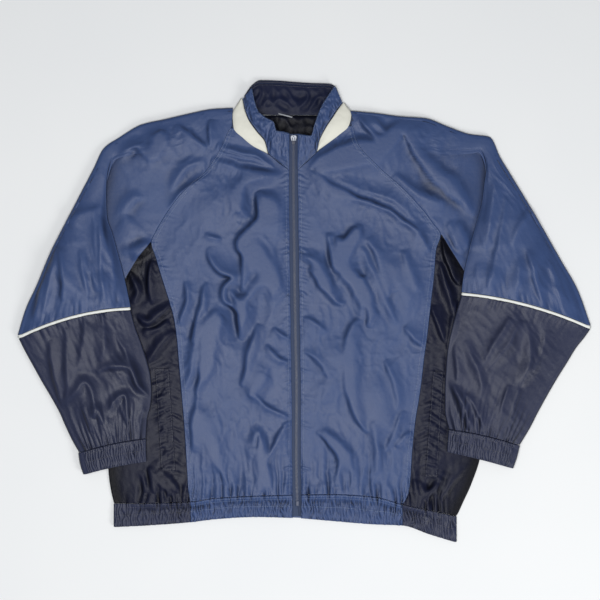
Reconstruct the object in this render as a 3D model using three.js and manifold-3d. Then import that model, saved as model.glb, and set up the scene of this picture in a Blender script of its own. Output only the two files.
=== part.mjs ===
// A zip-up windbreaker jacket with raglan sleeves, laid flat on its back on a table, in millimetres.
// +X is to the right of someone looking down at it, which is the wearer's left. +Y runs from hem to collar.
// +Z is up, and the table is at z = 0. Sides are named as the wearer has them.
// Each piece of cloth is a slab: a grid of points along the middle of its wall, moved out both ways.
import * as THREE from "three";
import { mergeVertices } from "three/addons/utils/BufferGeometryUtils.js";
import Module from "manifold-3d";

const wasm = await Module();
wasm.setup();

// Walls and gaps
const WALL = 1.2; // shell cloth with its lining, as one wall
const BAND_WALL = 2.0; // doubled cloth over elastic, at hem and cuffs
const COLLAR_WALL = 1.8;
const SEAM = 0.36; // gap between two pieces that are sewn together
const HEM_GAP = 1; // the same at the hem, whose seam is cut into longer straight stretches above than below
const CLEAR = 0.9; // gap left under a layer that only lies on another
const TABLE = WALL / 2; // height of the middle of a wall that lies on the table

// Heights of the laid cloth
const BODY_LOW = 3.2; // middle of the front wall at the body's side fold
const BODY_PUFF = 8.5; // how much higher it is far from the fold
const PUFF_REACH = 55;
const SHOULDER_REACH = 30;
const PLEAT_RADIUS = 1.6; // of the turns in the fold where each sleeve is laid down
const SLEEVE_EDGE = 8; // height of the sleeve's outer fold
const SLEEVE_PUFF = 11;

// The zip
const TAPE_HALF = 7; // visible half width of the closed zip
const TAPE_UNDER = 4; // how far each tape runs on under its front
const TAPE_DROP = { front: 1.75, collar: 2.9, hem: 3.4 }; // from the middle of the cloth above to the tape's
const ZIP_TOP = 311;
const ZIP_BOTTOM = -361;
const NECK_FRONT = 245; // where the collar seam meets the zip

const COLOURS = {
  shell: 0x545f84,
  panel: 0x3a3c50,
  stripe: 0xe1e2d7,
  piping: 0xebeeeb,
  lining: 0x232434,
  tape: 0x38405a,
  loop: 0x9ba0a8,
  metal: 0xb9bcc2,
  pull: 0x2a2d38,
};

const material = (colour, roughness = 0.62, metalness = 0) =>
  new THREE.MeshStandardMaterial({ color: COLOURS[colour], roughness, metalness });

// A table is a list of rows, each an object with the named columns.
const table = (columns, rows) => {
  const names = columns.split(" ");
  return rows.map((row) => Object.fromEntries(names.map((name, i) => [name, row[i]])));
};

// Body sections of each side, from the neck down to the hem seam. inner is the neck seam and then the zip.
// seam is the raglan seam and then the seam of the side panel. edge is the side panel's outer line:
// the armhole down to the underarm, and then the side fold of the body.
const BODY = {
  right: table("y inner seam edge", [
    [322, -120.5, -131, -131],
    [304, -105, -139, -139],
    [290, -89, -145, -145],
    [275, -63, -153, -153],
    [260, -45, -163, -163],
    [245, -27, -174, -174],
    [224, -27, -198, -198],
    [205, -27, -217, -217],
    [185, -27, -233, -233],
    [163, -27, -248, -248],
    [142, -26, -260, -260.5],
    [121, -26, -269, -270.5],
    [93, -26, -261, -293],
    [57, -25, -250, -315],
    [38, -25, -244, -327],
    [19, -25, -238, -339],
    [-15, -24, -229, -343],
    [-50, -24, -224, -346],
    [-85, -23, -221, -348],
    [-120, -23, -218, -348],
    [-155, -22, -215, -348],
    [-190, -22, -212, -348],
    [-225, -22, -209.5, -347],
    [-255, -22, -207.5, -346],
    [-280, -21, -205.5, -344],
    [-302, -21, -204, -340],
    [-322, -21, -200, -335],
  ]),
  left: table("y inner seam edge", [
    [325, 76, 86, 86],
    [308, 57, 89, 89],
    [291, 36, 95, 95],
    [278, 21, 105, 105],
    [262, 5, 121, 121],
    [245, -12, 139, 139],
    [226, -12, 161, 161],
    [209, -12, 179, 179],
    [192, -11, 195, 195],
    [175, -11, 210, 210],
    [155, -11, 225, 225.5],
    [134, -11, 239, 240.5],
    [107, -10, 231, 257],
    [69, -10, 228, 281],
    [47, -10, 226, 295],
    [32, -9, 224, 309],
    [-12, -9, 219, 314],
    [-47, -8, 215, 318],
    [-82, -8, 210, 320],
    [-118, -7, 206, 321],
    [-154, -7, 201, 321],
    [-190, -7, 195, 319],
    [-225, -7, 191, 315],
    [-255, -7, 188, 307],
    [-280, -7, 186, 293],
    [-302, -6, 182, 278],
    [-322, -6, 172, 267],
  ]),
};
const APEX_ROW = 11; // where the side panel starts
const UNDERARM_ROW = 15;

// Centre of the zip, and the low line that the side fold and the shoulder turn make under the sleeves.
const ZIP = table("y x", [
  [ZIP_TOP, -19],
  [245, -19.6],
  [107, -18],
  [-33, -16],
  [-139, -14],
  [-245, -14.5],
  [-327, -13],
  [ZIP_BOTTOM, -10],
]);
const SIDE_FOLD = table("y right left", [
  [300, -352, 330],
  [134, -350, 326],
  [69, -345, 318],
  [22, -339, 309],
  [-50, -346, 318],
  [-120, -348, 321],
  [-190, -348, 319],
  [-255, -346, 309],
  [-302, -340, 294],
  [-340, -334, 275],
  [-380, -335, 262],
]);
const SHOULDER_LINE = table("x y", [
  [-350, 292],
  [-284, 329],
  [-202, 347],
  [-126, 357],
  [80, 352],
  [175, 342],
  [238, 329],
  [327, 306],
]);

// The hem seam and the bottom edge, as heights across the body.
const HEM = table("x seam bottom", [
  [-336, -338, -380],
  [-278, -337, -377],
  [-199, -334, -371],
  [-158, -328, -366],
  [-86, -324, -362],
  [-13, -322, -364],
  [49, -321, -369],
  [124, -326, -375],
  [172, -339, -377],
  [221, -350, -393],
  [267, -361, -407],
]);
const HEM_BEND = { from: -225, to: -318 }; // the rows turn from level to the hem's curve between these

// Sleeve sections from the neck to the piping. y picks the point on the raglan or armhole seam.
// fold is the visible inner edge, out the outer fold, and deep how far the cloth runs on under the fold.
// rise is 1 where the fold is a full turn of the cloth, and 0 where there is none. bow bends the row.
const UPPER_SLEEVE = {
  right: table("y foldX foldY outX outY deep rise bow", [
    [330, -127, 339, -126, 357, -6, 0, 0],
    [304, -150, 334, -162, 355, -8, 0, 0],
    [275, -178, 316, -203, 347, -12, 0, 0],
    [245, -212, 299, -246, 337, -14, 0, 0],
    [224, -252, 292, -286, 328, -14, 0, 0],
    [205, -300, 284, -326, 305, -12, 0, 0],
    [185, -338, 272, -353, 286, -9, 0.25, 0],
    [163, -347, 240, -371, 250, -4, 0.7, 0],
    [142, -350, 205, -397, 200, 4, 1, 0],
    [121, -349, 168, -424, 147, 12, 1, 2],
    [93, -339, 135, -447, 101, 20, 1, 4],
    [57, -325, 85, -470, 45, 32, 1, 7],
    [38, -315, 45, -490, 2, 40, 1, 9],
    [19, -307, 7, -504, -44, 50, 1, 11],
  ]),
  left: table("y foldX foldY outX outY deep rise bow", [
    [333, 84, 340, 80, 352, -6, 0, 0],
    [308, 109, 334, 124, 348, -8, 0, 0],
    [278, 144, 320, 170, 342, -12, 0, 0],
    [245, 180, 304, 212, 339, -14, 0, 0],
    [226, 218, 294, 250, 325, -14, 0, 0],
    [209, 264, 283, 290, 311, -12, 0, 0],
    [192, 308, 285, 325, 306, -9, 0.25, 0],
    [175, 320, 255, 344, 270, -4, 0.7, 0],
    [155, 317, 222, 364, 237, 4, 1, 0],
    [134, 313, 190, 388, 197, 12, 1, 2],
    [107, 302, 150, 415, 151, 20, 1, 4],
    [69, 289, 100, 450, 89, 30, 1, 7],
    [47, 281, 64, 480, 36, 38, 1, 9],
    [32, 277, 33, 503, -27, 50, 1, 10],
  ]),
};
const PIPING = { from: 0.11, wall: 2.0 }; // from: where it starts in the gap between the two sleeve pieces

// Lower sleeve sections, from the piping to the cuff seam, and then the cuff to its open end.
const LOWER_SLEEVE = {
  right: table("foldX foldY outX outY bow", [
    [-305, 1, -502, -50, 11],
    [-298, -26, -492, -70, 10],
    [-287, -56, -477, -97, 8],
    [-277, -86, -462, -124, 7],
    [-270, -115, -446, -151, 6],
    [-268, -142, -431, -178, 5],
    [-270, -166, -420, -203, 5],
    [-276, -190, -408, -228, 4],
    [-278, -223, -396, -249, 4],
  ]),
  left: table("foldX foldY outX outY bow", [
    [275, 27, 502, -33, 10],
    [268, 2, 493, -46, 9],
    [260, -25, 477, -66, 8],
    [253, -55, 461, -92, 7],
    [249, -86, 444, -119, 6],
    [247, -117, 427, -148, 5],
    [246, -146, 411, -177, 5],
    [246, -174, 396, -206, 4],
    [253, -207, 378, -236, 4],
  ]),
};
const CUFF = {
  right: table("foldX foldY outX outY bow", [
    [-278, -224, -397, -250, 4],
    [-278, -244, -394, -269, 3],
    [-277, -264, -388, -288, 3],
  ]),
  left: table("foldX foldY outX outY bow", [
    [253, -208, 378, -237, 4],
    [251, -228, 373, -257, 3],
    [250, -247, 366, -277, 2],
  ]),
};

// The collar's front, from the zip to its side fold: its low line, its top line and their heights.
const COLLAR = {
  right: table("lowX lowY lowZ topX topY topZ", [
    [-26.5, 245.5, 11, -26.5, 311, 25],
    [-45, 260.5, 12, -38, 314, 26],
    [-63, 275.5, 13, -49, 316, 26],
    [-69, 297, 15, -54, 331, 24],
    [-84, 316, 15, -68, 339, 21],
    [-98, 337, 13, -81, 351, 17],
    [-105, 355, 10, -88, 371, 13],
    [-109, 372, 6, -92, 392, 10],
  ]),
  left: table("lowX lowY lowZ topX topY topZ", [
    [-12.5, 245.5, 11, -12, 310, 25],
    [5, 262.5, 12, 0, 308, 26],
    [21, 278.5, 13, 11, 307, 26],
    [26, 299, 15, 17, 325, 24],
    [37, 322, 15, 23, 343, 21],
    [50, 342, 13, 31, 362, 17],
    [58, 354, 10, 41, 378, 13],
    [67, 365, 6, 53, 396, 10],
  ]),
};
// The stripe lies between the collar's low line, from its third row on, and the seam with the body.
const STRIPE = {
  right: table("x y z", [
    [-66, 277, 12],
    [-89, 290.4, 12],
    [-105.4, 304.4, 12],
    [-122, 322.5, 10],
    [-124.5, 346, 7],
    [-111.5, 374, 4],
  ]),
  left: table("x y z", [
    [22, 280.5, 12],
    [36, 292, 12],
    [57, 309, 12],
    [75.5, 327, 10],
    [80, 346, 7],
    [70, 366, 4],
  ]),
};
const STRIPE_FIRST = 2;
const COLLAR_CROWN = 3;

// The back of the collar, from the wearer's right side to the left: its seam, its top edge, and the lining's.
const COLLAR_BACK = table("x seam top", [
  [-106, 356, 379],
  [-92, 349, 398],
  [-78, 346, 406],
  [-45, 345, 405],
  [-19, 345, 403],
  [12, 345, 401],
  [42, 345, 400],
  [54, 346, 395],
  [64, 350, 372],
]);
const LINING_RISE = 1.55; // the collar's lining lies this far above its outer cloth, middle to middle
const BINDING_WALL = 2.08;
const NECK_LINING = { right: -70, left: 32, low: 296, high: 341, rows: 2, columns: 4 };
const HANGER_LOOP = { x: -30, y: 341, length: 32, width: 5, tilt: -0.27, wall: 1.2 };

// Pocket welts on the side panels: corners of the top and bottom end, from the inner corner outwards.
const WELTS = {
  right: { topIn: [-238, -100], topOut: [-263, -101], lowIn: [-226, -280], lowOut: [-251, -281] },
  left: { topIn: [226, -105], topOut: [244, -106], lowIn: [211, -291], lowOut: [233, -292] },
};
const WELT_WALL = 1.4;
const WELT_GRID = { along: 9, across: 2 };

// The largest folds of the front, as ridges (height above 0) and valleys, each from one point to another.
const FOLDS = table("x1 y1 x2 y2 width height", [
  // wearer's right front
  [-84, 211, -106, 75, 17, -5],
  [-100, 130, -48, 26, 16, 6],
  [-82, 100, -50, 34, 11, -4],
  [-168, 112, -128, 60, 15, -4],
  [-137, 53, -114, -57, 16, -5],
  [-211, 51, -222, -35, 16, -4],
  [-174, 28, -203, -125, 17, -4],
  [-150, 0, -184, -110, 14, 4],
  [-84, -30, -112, -127, 15, -5],
  [-70, -52, -31, -92, 14, -4],
  [-72, -100, -100, -150, 16, 3],
  [-172, -210, -132, -310, 15, -4],
  [-92, -230, -66, -310, 14, 4],
  [-150, 256, -26, 240, 26, -3],
  [-222, 325, -172, 285, 17, -4],
  [-165, 330, -168, 284, 14, -4],
  [-155, 282, -91, 264, 15, -4],
  [-250, 312, -274, 268, 15, 4],
  // wearer's left front
  [100, 62, 118, -35, 15, -6],
  [102, -22, 74, -80, 14, -6],
  [74, -80, 108, -212, 15, -5],
  [40, 134, 52, 78, 16, -4],
  [71, 102, 104, 18, 14, 5],
  [71, 102, 102, 139, 14, 4],
  [118, 116, 162, -10, 17, -5],
  [14, 70, 66, 14, 15, -4],
  [195, 143, 224, 84, 15, -4],
  [22, -213, 62, -300, 16, -4],
  [76, 226, 194, 144, 24, -4],
  [12, 254, 124, 285, 18, 7],
  [124, 285, 206, 338, 17, 6],
  [130, 300, 154, 268, 12, -3],
  [90, 344, 116, 304, 12, -3],
  [174, 318, 200, 268, 14, -3],
  [168, -216, 186, -235, 14, -3],
]);
// The largest folds of the sleeves, in the same columns.
const SLEEVE_FOLDS = table("x1 y1 x2 y2 width height", [
  [-400, 190, -350, 60, 17, -4],
  [-440, 90, -380, 10, 16, 4],
  [-420, 60, -460, -10, 15, -3],
  [-350, 60, -345, 10, 14, 4],
  [-440, -40, -350, -130, 18, -5],
  [-380, -30, -310, -120, 16, 4],
  [-420, -110, -340, -210, 17, 4],
  [-330, -90, -310, -200, 15, -4],
  [-385, -190, -370, -240, 13, -4],
  [360, 210, 330, 80, 16, -4],
  [420, 110, 360, 30, 17, 4],
  [450, 60, 420, 12, 15, -3],
  [330, 70, 320, 30, 14, 4],
  [440, -20, 350, -110, 18, -5],
  [370, -10, 300, -100, 16, 4],
  [400, -90, 330, -190, 17, 4],
  [300, -80, 285, -190, 15, -4],
  [360, -170, 340, -225, 13, -4],
]);
const CALM = 26; // folds fade out this near the zip

// Elastic gathers of the hem band and cuffs
const GATHER = { pitch: 15, height: 1.3, columnsPerWave: 4 };

const clamp = (value, low = 0, high = 1) => Math.min(high, Math.max(low, value));
const lerp = (a, b, t) => a + (b - a) * t;
const smooth = (from, to, value) => {
  const t = clamp((value - from) / (to - from));
  return t * t * (3 - 2 * t);
};
const vec = (x, y, z) => new THREE.Vector3(x, y, z);
const spaced = (count) => Array.from({ length: count + 1 }, (_, i) => i / count);

// Looks a column up in a table by another column, in straight lines between its rows.
function look(rows, key, value, column) {
  const rising = rows[rows.length - 1][key] > rows[0][key];
  const sorted = rising ? rows : [...rows].reverse();
  const last = sorted.length - 1;
  if (value <= sorted[0][key]) return sorted[0][column];
  if (value >= sorted[last][key]) return sorted[last][column];
  const next = sorted.findIndex((row) => row[key] >= value);
  const [a, b] = [sorted[next - 1], sorted[next]];
  return lerp(a[column], b[column], (value - a[key]) / (b[key] - a[key]));
}

const zipX = (y) => look(ZIP, "y", y, "x");

// What a list of folds adds to the height at a point: each is a rounded bump that tapers to its ends.
function foldsAt(folds, x, y) {
  let sum = 0;
  for (const { x1, y1, x2, y2, width, height } of folds) {
    const [dx, dy] = [x2 - x1, y2 - y1];
    const length = Math.hypot(dx, dy);
    const along = ((x - x1) * dx + (y - y1) * dy) / length;
    const across = Math.abs((x - x1) * dy - (y - y1) * dx) / length;
    if (across > 2.5 * width || along < -width || along > length + width) continue;
    const taper = smooth(-width, width, along) * smooth(-width, width, length - along);
    sum += height * taper * Math.exp(-((across / width) ** 2));
  }
  return sum;
}

// Height of the middle of the body's upper wall: fronts, side panels and the shoulders.
function bodyHeight(x, y) {
  const side = x < zipX(y) ? "right" : "left";
  const inward = Math.max(0, Math.abs(look(SIDE_FOLD, "y", y, side)) - Math.abs(x));
  const down = Math.max(0, look(SHOULDER_LINE, "x", x, "y") - y);
  const shoulder = lerp(0.55, 1, 1 - Math.exp(-down / SHOULDER_REACH));
  const puff = BODY_PUFF * (1 - Math.exp(-inward / PUFF_REACH)) * shoulder;
  const edges = smooth(20, 85, inward) * smooth(-8, 30, down);
  const calm = smooth(4, CALM, Math.abs(x - zipX(y))) * edges;
  return BODY_LOW + puff + Math.max(-0.62 * puff, calm * foldsAt(FOLDS, x, y));
}

// The front's own height meets the collar's low line at the neck.
function frontHeight(x, y) {
  const near = smooth(60, 0, Math.hypot(x - zipX(y), y - NECK_FRONT));
  return lerp(bodyHeight(x, y), COLLAR.right[0].lowZ, near);
}

// Height of the hem band, from its seam (0) to its bottom edge (1).
const hemHeight = (x, v) => lerp(bodyHeight(x, look(HEM, "x", x, "seam")), BODY_LOW + 3, 0.8 * v) + 0.4;

// Height of the zip's tapes: under the fronts, under the hem's gathers, and up the collar above its seam.
function tapeHeight(x, y) {
  const { lowZ, topZ } = COLLAR.right[0];
  const up = (y - NECK_FRONT) / (ZIP_TOP - NECK_FRONT);
  if (up > 0) return lerp(lowZ, topZ, up) - lerp(TAPE_DROP.front, TAPE_DROP.collar, clamp(up * 6));
  const seam = look(HEM, "x", x, "seam");
  const v = (seam - y) / (seam - look(HEM, "x", x, "bottom"));
  const front = frontHeight(x, y) - TAPE_DROP.front;
  return lerp(front, hemHeight(x, clamp(v)) - TAPE_DROP.hem, smooth(-0.25, 0, v));
}

// A closed slab round a grid of middle points: rows of Vector3, moved out by half the wall both ways.
function slab(name, rows, wall, finish) {
  const [m, n] = [rows.length, rows[0].length];
  const at = (i, j) => rows[clamp(i, 0, m - 1)][clamp(j, 0, n - 1)];
  const outer = [];
  const inner = [];
  for (let i = 0; i < m; i++)
    for (let j = 0; j < n; j++) {
      const down = at(i + 1, j).clone().sub(at(i - 1, j));
      const along = at(i, j + 1).clone().sub(at(i, j - 1));
      const normal = down.cross(along).normalize().multiplyScalar(wall / 2);
      outer.push(at(i, j).clone().add(normal));
      inner.push(at(i, j).clone().sub(normal));
    }
  const points = [...outer, ...inner];
  const o = (i, j) => i * n + j;
  const k = (i, j) => m * n + i * n + j;
  const faces = [];
  const quad = (a, b, c, d) => faces.push(a, b, c, a, c, d);
  for (let i = 0; i + 1 < m; i++)
    for (let j = 0; j + 1 < n; j++) {
      quad(o(i, j), o(i + 1, j), o(i + 1, j + 1), o(i, j + 1));
      quad(k(i, j), k(i, j + 1), k(i + 1, j + 1), k(i + 1, j));
    }
  for (let i = 0; i + 1 < m; i++) {
    quad(o(i, 0), k(i, 0), k(i + 1, 0), o(i + 1, 0));
    quad(o(i, n - 1), o(i + 1, n - 1), k(i + 1, n - 1), k(i, n - 1));
  }
  for (let j = 0; j + 1 < n; j++) {
    quad(o(0, j), o(0, j + 1), k(0, j + 1), k(0, j));
    quad(o(m - 1, j), k(m - 1, j), k(m - 1, j + 1), o(m - 1, j + 1));
  }
  const facing = volume(points, faces) < 0 ? faces.toReversed() : faces;
  const places = points.flatMap((p) => p.toArray());
  const geometry = new THREE.BufferGeometry();
  geometry.setAttribute("position", new THREE.Float32BufferAttribute(places, 3));
  geometry.setIndex(new THREE.Uint32BufferAttribute(facing, 1));
  geometry.computeVertexNormals();
  const mesh = new THREE.Mesh(geometry, finish);
  mesh.name = name;
  return mesh;
}

function volume(points, faces) {
  let six = 0;
  for (let i = 0; i < faces.length; i += 3) {
    const [a, b, c] = [points[faces[i]], points[faces[i + 1]], points[faces[i + 2]]];
    six += a.dot(b.clone().cross(c));
  }
  return six / 6;
}

const outward = (side) => (side === "right" ? -1 : 1);

// Level rows turn into the hem's curve towards the bottom.
function hemBent(x, y) {
  const bottom = BODY.right[BODY.right.length - 1].y;
  return y + smooth(HEM_BEND.from, HEM_BEND.to, y) * (look(HEM, "x", x, "seam") - bottom);
}

// One point of the body's upper wall, pulled in from a seam by half the seam's gap.
const onBody = (x, y) => vec(x, hemBent(x, y), frontHeight(x, hemBent(x, y)));

function front(side) {
  const out = outward(side);
  const columns = 12;
  const rows = BODY[side].map(({ y, inner, seam }) => {
    const from = inner + (out * SEAM) / 2;
    const to = seam - (out * SEAM) / 2;
    return spaced(columns).map((t) => onBody(lerp(from, to, t), y));
  });
  return slab(`front_${side}`, rows, WALL, material("shell"));
}

// A turn of cloth at an outer fold: half an ellipse from the upper wall round to the lower one.
function nose(centre, away, reach, low, high, steps) {
  return spaced(steps).map((t) => {
    const angle = Math.PI * (0.5 - t);
    const middle = (low + high) / 2;
    const p = centre.clone().addScaledVector(away, reach * Math.cos(angle));
    return vec(p.x, p.y, middle + ((high - low) / 2) * Math.sin(angle));
  });
}

function sideFront(side) {
  const out = outward(side);
  const [across, turn] = [6, 4];
  const rows = BODY[side].slice(APEX_ROW).map(({ y, seam, edge }, i) => {
    const closed = i + APEX_ROW >= UNDERARM_ROW;
    const from = seam + (out * SEAM) / 2;
    const reach = closed ? 3 : 0.3 * turn;
    const to = edge - (out * SEAM) / 2 - out * reach;
    const wide = i ? to : from + out * 0.6;
    const upper = spaced(across).map((t) => onBody(lerp(from, wide, t), y));
    const end = upper[across];
    const rest = closed
      ? nose(end, vec(out, 0, 0), reach, TABLE, end.z, turn).slice(1)
      : spaced(turn).slice(1).map((t) => onBody(wide + out * reach * t * (i ? 1 : 0.3), y));
    return [...upper, ...rest];
  });
  return slab(`side_front_${side}`, rows, WALL, material("panel"));
}

function sideBack(side) {
  const out = outward(side);
  const rows = BODY[side].slice(APEX_ROW).map(({ y, seam, edge }, i) => {
    const inset = i + APEX_ROW >= UNDERARM_ROW ? 4 : SEAM / 2;
    const from = seam + (out * SEAM) / 2;
    const to = i ? edge - out * inset : from + out * 0.8;
    return spaced(2).map((t) => vec(lerp(from, to, t), hemBent(lerp(from, to, t), y), TABLE));
  });
  return slab(`side_back_${side}`, rows, WALL, material("panel"));
}

function back() {
  const columns = 8;
  const neck = { y: 344.6, right: -125, left: 81 };
  const rows = BODY.right.map((row, i) => {
    const other = BODY.left[i];
    return spaced(columns).map((t) => {
      const x = lerp(row.seam + SEAM / 2, other.seam - SEAM / 2, t);
      return vec(x, hemBent(x, lerp(row.y, other.y, t)), TABLE);
    });
  });
  rows.unshift(spaced(columns).map((t) => vec(lerp(neck.right, neck.left, t), neck.y, TABLE)));
  return slab("back", rows, WALL, material("shell"));
}

// Height of a sleeve's upper wall between its inner and outer fold.
function sleeveHeight(x, y, inner, t, width) {
  const puff = SLEEVE_PUFF * clamp(width / 110) * (4 * t * (1 - t)) ** 0.8;
  const calm = smooth(0, 0.16, t) * smooth(1, 0.84, t);
  return lerp(inner, SLEEVE_EDGE, t) + puff + calm * foldsAt(SLEEVE_FOLDS, x, y);
}

// Plan points from a sleeve's inner fold to its outer one, on a bowed line.
function bowed(row, t) {
  const x = lerp(row.foldX, row.outX, t);
  return vec(x, lerp(row.foldY, row.outY, t) + row.bow * 4 * t * (1 - t), 0);
}

// Points round a turn of cloth, in radii: how far sideways and up.
const TURN = [
  { sideways: 0.75, up: 0.35 },
  { sideways: 1, up: 1 },
  { sideways: 0.75, up: 1.65 },
];
const SLEEVE_STEPS = { shoulder: 4, middle: 2, upper: 8, nose: 5, under: 4 };

// A sleeve above the piping, as one strip: from its seam with the body, under the fold where the sleeve is
// laid down, over that fold, across to the outer fold and back along the table to the seam at the back.
function upperSleeve(side) {
  const out = outward(side);
  const steps = SLEEVE_STEPS;
  const rows = UPPER_SLEEVE[side].map((row, i) => {
    const column = row.y > BODY[side][APEX_ROW].y ? "seam" : "edge";
    const seamX = look(BODY[side], "y", row.y, column);
    const start = vec(seamX + (out * SEAM) / 2, row.y, 0);
    const fold = vec(row.foldX, row.foldY, 0);
    const away = vec(row.outX, row.outY, 0).sub(fold).normalize();
    const width = fold.distanceTo(vec(row.outX, row.outY, 0));
    const turn = bowed(row, row.deep / width);
    const radius = PLEAT_RADIUS * clamp(row.rise * 1.3);
    const bulge = PLEAT_RADIUS * clamp((row.rise - 0.7) / 0.3);
    const lift = (p, up) => vec(p.x, p.y, frontHeight(p.x, p.y) + up);
    const points = [];
    for (const t of spaced(steps.shoulder)) points.push(lift(start.clone().lerp(turn, t), 0));
    // Where the fold is not a full turn, its points spread out evenly between turn and fold.
    const spread = (1 - bulge / PLEAT_RADIUS) / (2 * TURN.length + steps.middle + 1);
    TURN.forEach(({ sideways, up }, k) => {
      const p = turn.clone().lerp(fold, (k + 1) * spread);
      points.push(lift(p.addScaledVector(away, bulge * sideways), up * radius));
    });
    const from = (TURN.length + 1) * spread;
    for (const t of spaced(steps.middle))
      points.push(lift(turn.clone().lerp(fold, lerp(from, 1 - from, t)), 2 * radius));
    TURN.forEach(({ sideways, up }, k) => {
      const p = turn.clone().lerp(fold, 1 - (TURN.length - k) * spread);
      points.push(lift(p.addScaledVector(away, -bulge * sideways), (2 + up) * radius));
    });
    const inner = frontHeight(fold.x, fold.y) + 4 * radius;
    const free = smooth(4, 9, i);
    const reach = Math.min(SLEEVE_EDGE, width * 0.35);
    const stop = 1 - reach / width;
    for (const t of spaced(steps.upper)) {
      const p = bowed(row, t * stop);
      const onShoulder = frontHeight(p.x, p.y) + 4 * radius;
      const onSleeve = sleeveHeight(p.x, p.y, inner, t * stop, width);
      points.push(vec(p.x, p.y, lerp(onShoulder, onSleeve, free)));
    }
    const end = points[points.length - 1];
    points.push(...nose(end, away, reach, TABLE, end.z, steps.nose).slice(1));
    const under = vec(end.x, end.y, TABLE);
    const home = vec(start.x, start.y, TABLE);
    const arch = (t) => row.bow * 4 * t * (1 - t);
    const homeAt = start.clone().sub(fold).dot(away) / width;
    for (const t of spaced(steps.under).slice(1)) {
      const bend = arch(lerp(stop, homeAt, t)) - lerp(arch(stop), arch(homeAt), t);
      points.push(under.clone().lerp(home, t).add(vec(0, bend, 0)));
    }
    return points;
  });
  return slab(`sleeve_upper_${side}`, rows, WALL, material("shell"));
}

// Height of the lower wall of a sleeve: on the table, and over the body where it lies on that.
function sleeveFloor(side, x, y, wall) {
  const fold = Math.abs(look(SIDE_FOLD, "y", y, side));
  const inside = fold - Math.abs(x);
  const over = bodyHeight(x, y) + WALL / 2 + CLEAR + wall / 2;
  return lerp(wall / 2, over, smooth(-30, -5, inside));
}

// A flattened tube: the inner fold, the upper wall, the outer fold, and the lower wall back to the seam.
function tubeRow(side, row, wall, steps, wave) {
  const fold = vec(row.foldX, row.foldY, 0);
  const edge = vec(row.outX, row.outY, 0);
  const away = edge.clone().sub(fold).normalize();
  const width = fold.distanceTo(edge);
  const inset = { in: 3, out: SLEEVE_EDGE };
  const inner = bodyHeight(fold.x, fold.y) + 4 * PLEAT_RADIUS;
  const span = (t) => lerp(inset.in / width, 1 - inset.out / width, t);
  const upper = spaced(steps.upper).map((t) => {
    const p = bowed(row, span(t));
    const ripple = wave * Math.cos(Math.PI * 2 * Math.round(width / GATHER.pitch) * t);
    return vec(p.x, p.y, sleeveHeight(p.x, p.y, inner, span(t), width) + ripple);
  });
  const lower = spaced(steps.under).map((t) => {
    const p = bowed(row, span(1 - t));
    return vec(p.x, p.y, sleeveFloor(side, p.x, p.y, wall));
  });
  const first = nose(upper[0], away.clone().negate(), inset.in, lower[steps.under].z, upper[0].z, steps.turn);
  first.reverse().pop();
  const start = lower[steps.under].clone().addScaledVector(away, wall * 0.2);
  const end = upper[steps.upper];
  const turned = nose(end, away, inset.out, lower[0].z, end.z, steps.nose).slice(1);
  const finish = start.clone().addScaledVector(away, SEAM);
  return [start, ...first.slice(1), ...upper, ...turned, ...lower.slice(1, -1), finish];
}

const TUBE_STEPS = { turn: 4, upper: 9, nose: 5, under: 6 };

function lowerSleeve(side) {
  const rows = LOWER_SLEEVE[side].map((row) => tubeRow(side, row, WALL, TUBE_STEPS, 0));
  return slab(`sleeve_lower_${side}`, rows, WALL, material("panel"));
}

function cuff(side) {
  const width = 119;
  const steps = { ...TUBE_STEPS, upper: Math.round(width / GATHER.pitch) * GATHER.columnsPerWave };
  const rows = CUFF[side].map((row) => tubeRow(side, row, BAND_WALL, steps, GATHER.height));
  return slab(`cuff_${side}`, rows, BAND_WALL, material("panel"));
}

// The piping is a narrow band in the seam between the upper and the lower sleeve.
function piping(side) {
  const first = UPPER_SLEEVE[side][UPPER_SLEEVE[side].length - 1];
  const next = LOWER_SLEEVE[side][0];
  const rows = [PIPING.from, 1 - PIPING.from].map((t) => {
    const row = {};
    for (const column of ["foldX", "foldY", "outX", "outY", "bow"]) {
      row[column] = lerp(first[column], next[column], t);
    }
    return tubeRow(side, row, PIPING.wall, TUBE_STEPS, 0);
  });
  return slab(`piping_${side}`, rows, PIPING.wall, material("piping"));
}

// The hem band: upper pieces with gathers, and the back's band flat on the table.
function hemPiece(name, from, to, colour, turnSide) {
  const waves = Math.round(Math.abs(to - from) / GATHER.pitch);
  const columns = waves * GATHER.columnsPerWave;
  const rows = [0, 0.5, 1].map((v) => {
    const upper = spaced(columns).map((t) => {
      const x = lerp(from, to, t);
      const top = look(HEM, "x", x, "seam") - HEM_GAP;
      const y = lerp(top, look(HEM, "x", x, "bottom"), v);
      const ends = smooth(0, 1.5, t * waves) * smooth(0, 1.5, (1 - t) * waves);
      const ripple = GATHER.height * Math.cos(Math.PI * 2 * waves * t) * ends;
      return vec(x, y, hemHeight(x, v) + ripple * (v ? 1 : 0.6));
    });
    if (!turnSide) return upper;
    const end = upper[columns];
    return [...upper, ...nose(end, vec(outward(turnSide), 0, 0), 3, BAND_WALL / 2, end.z, 4).slice(1)];
  });
  return slab(name, rows, BAND_WALL, material(colour));
}

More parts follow.
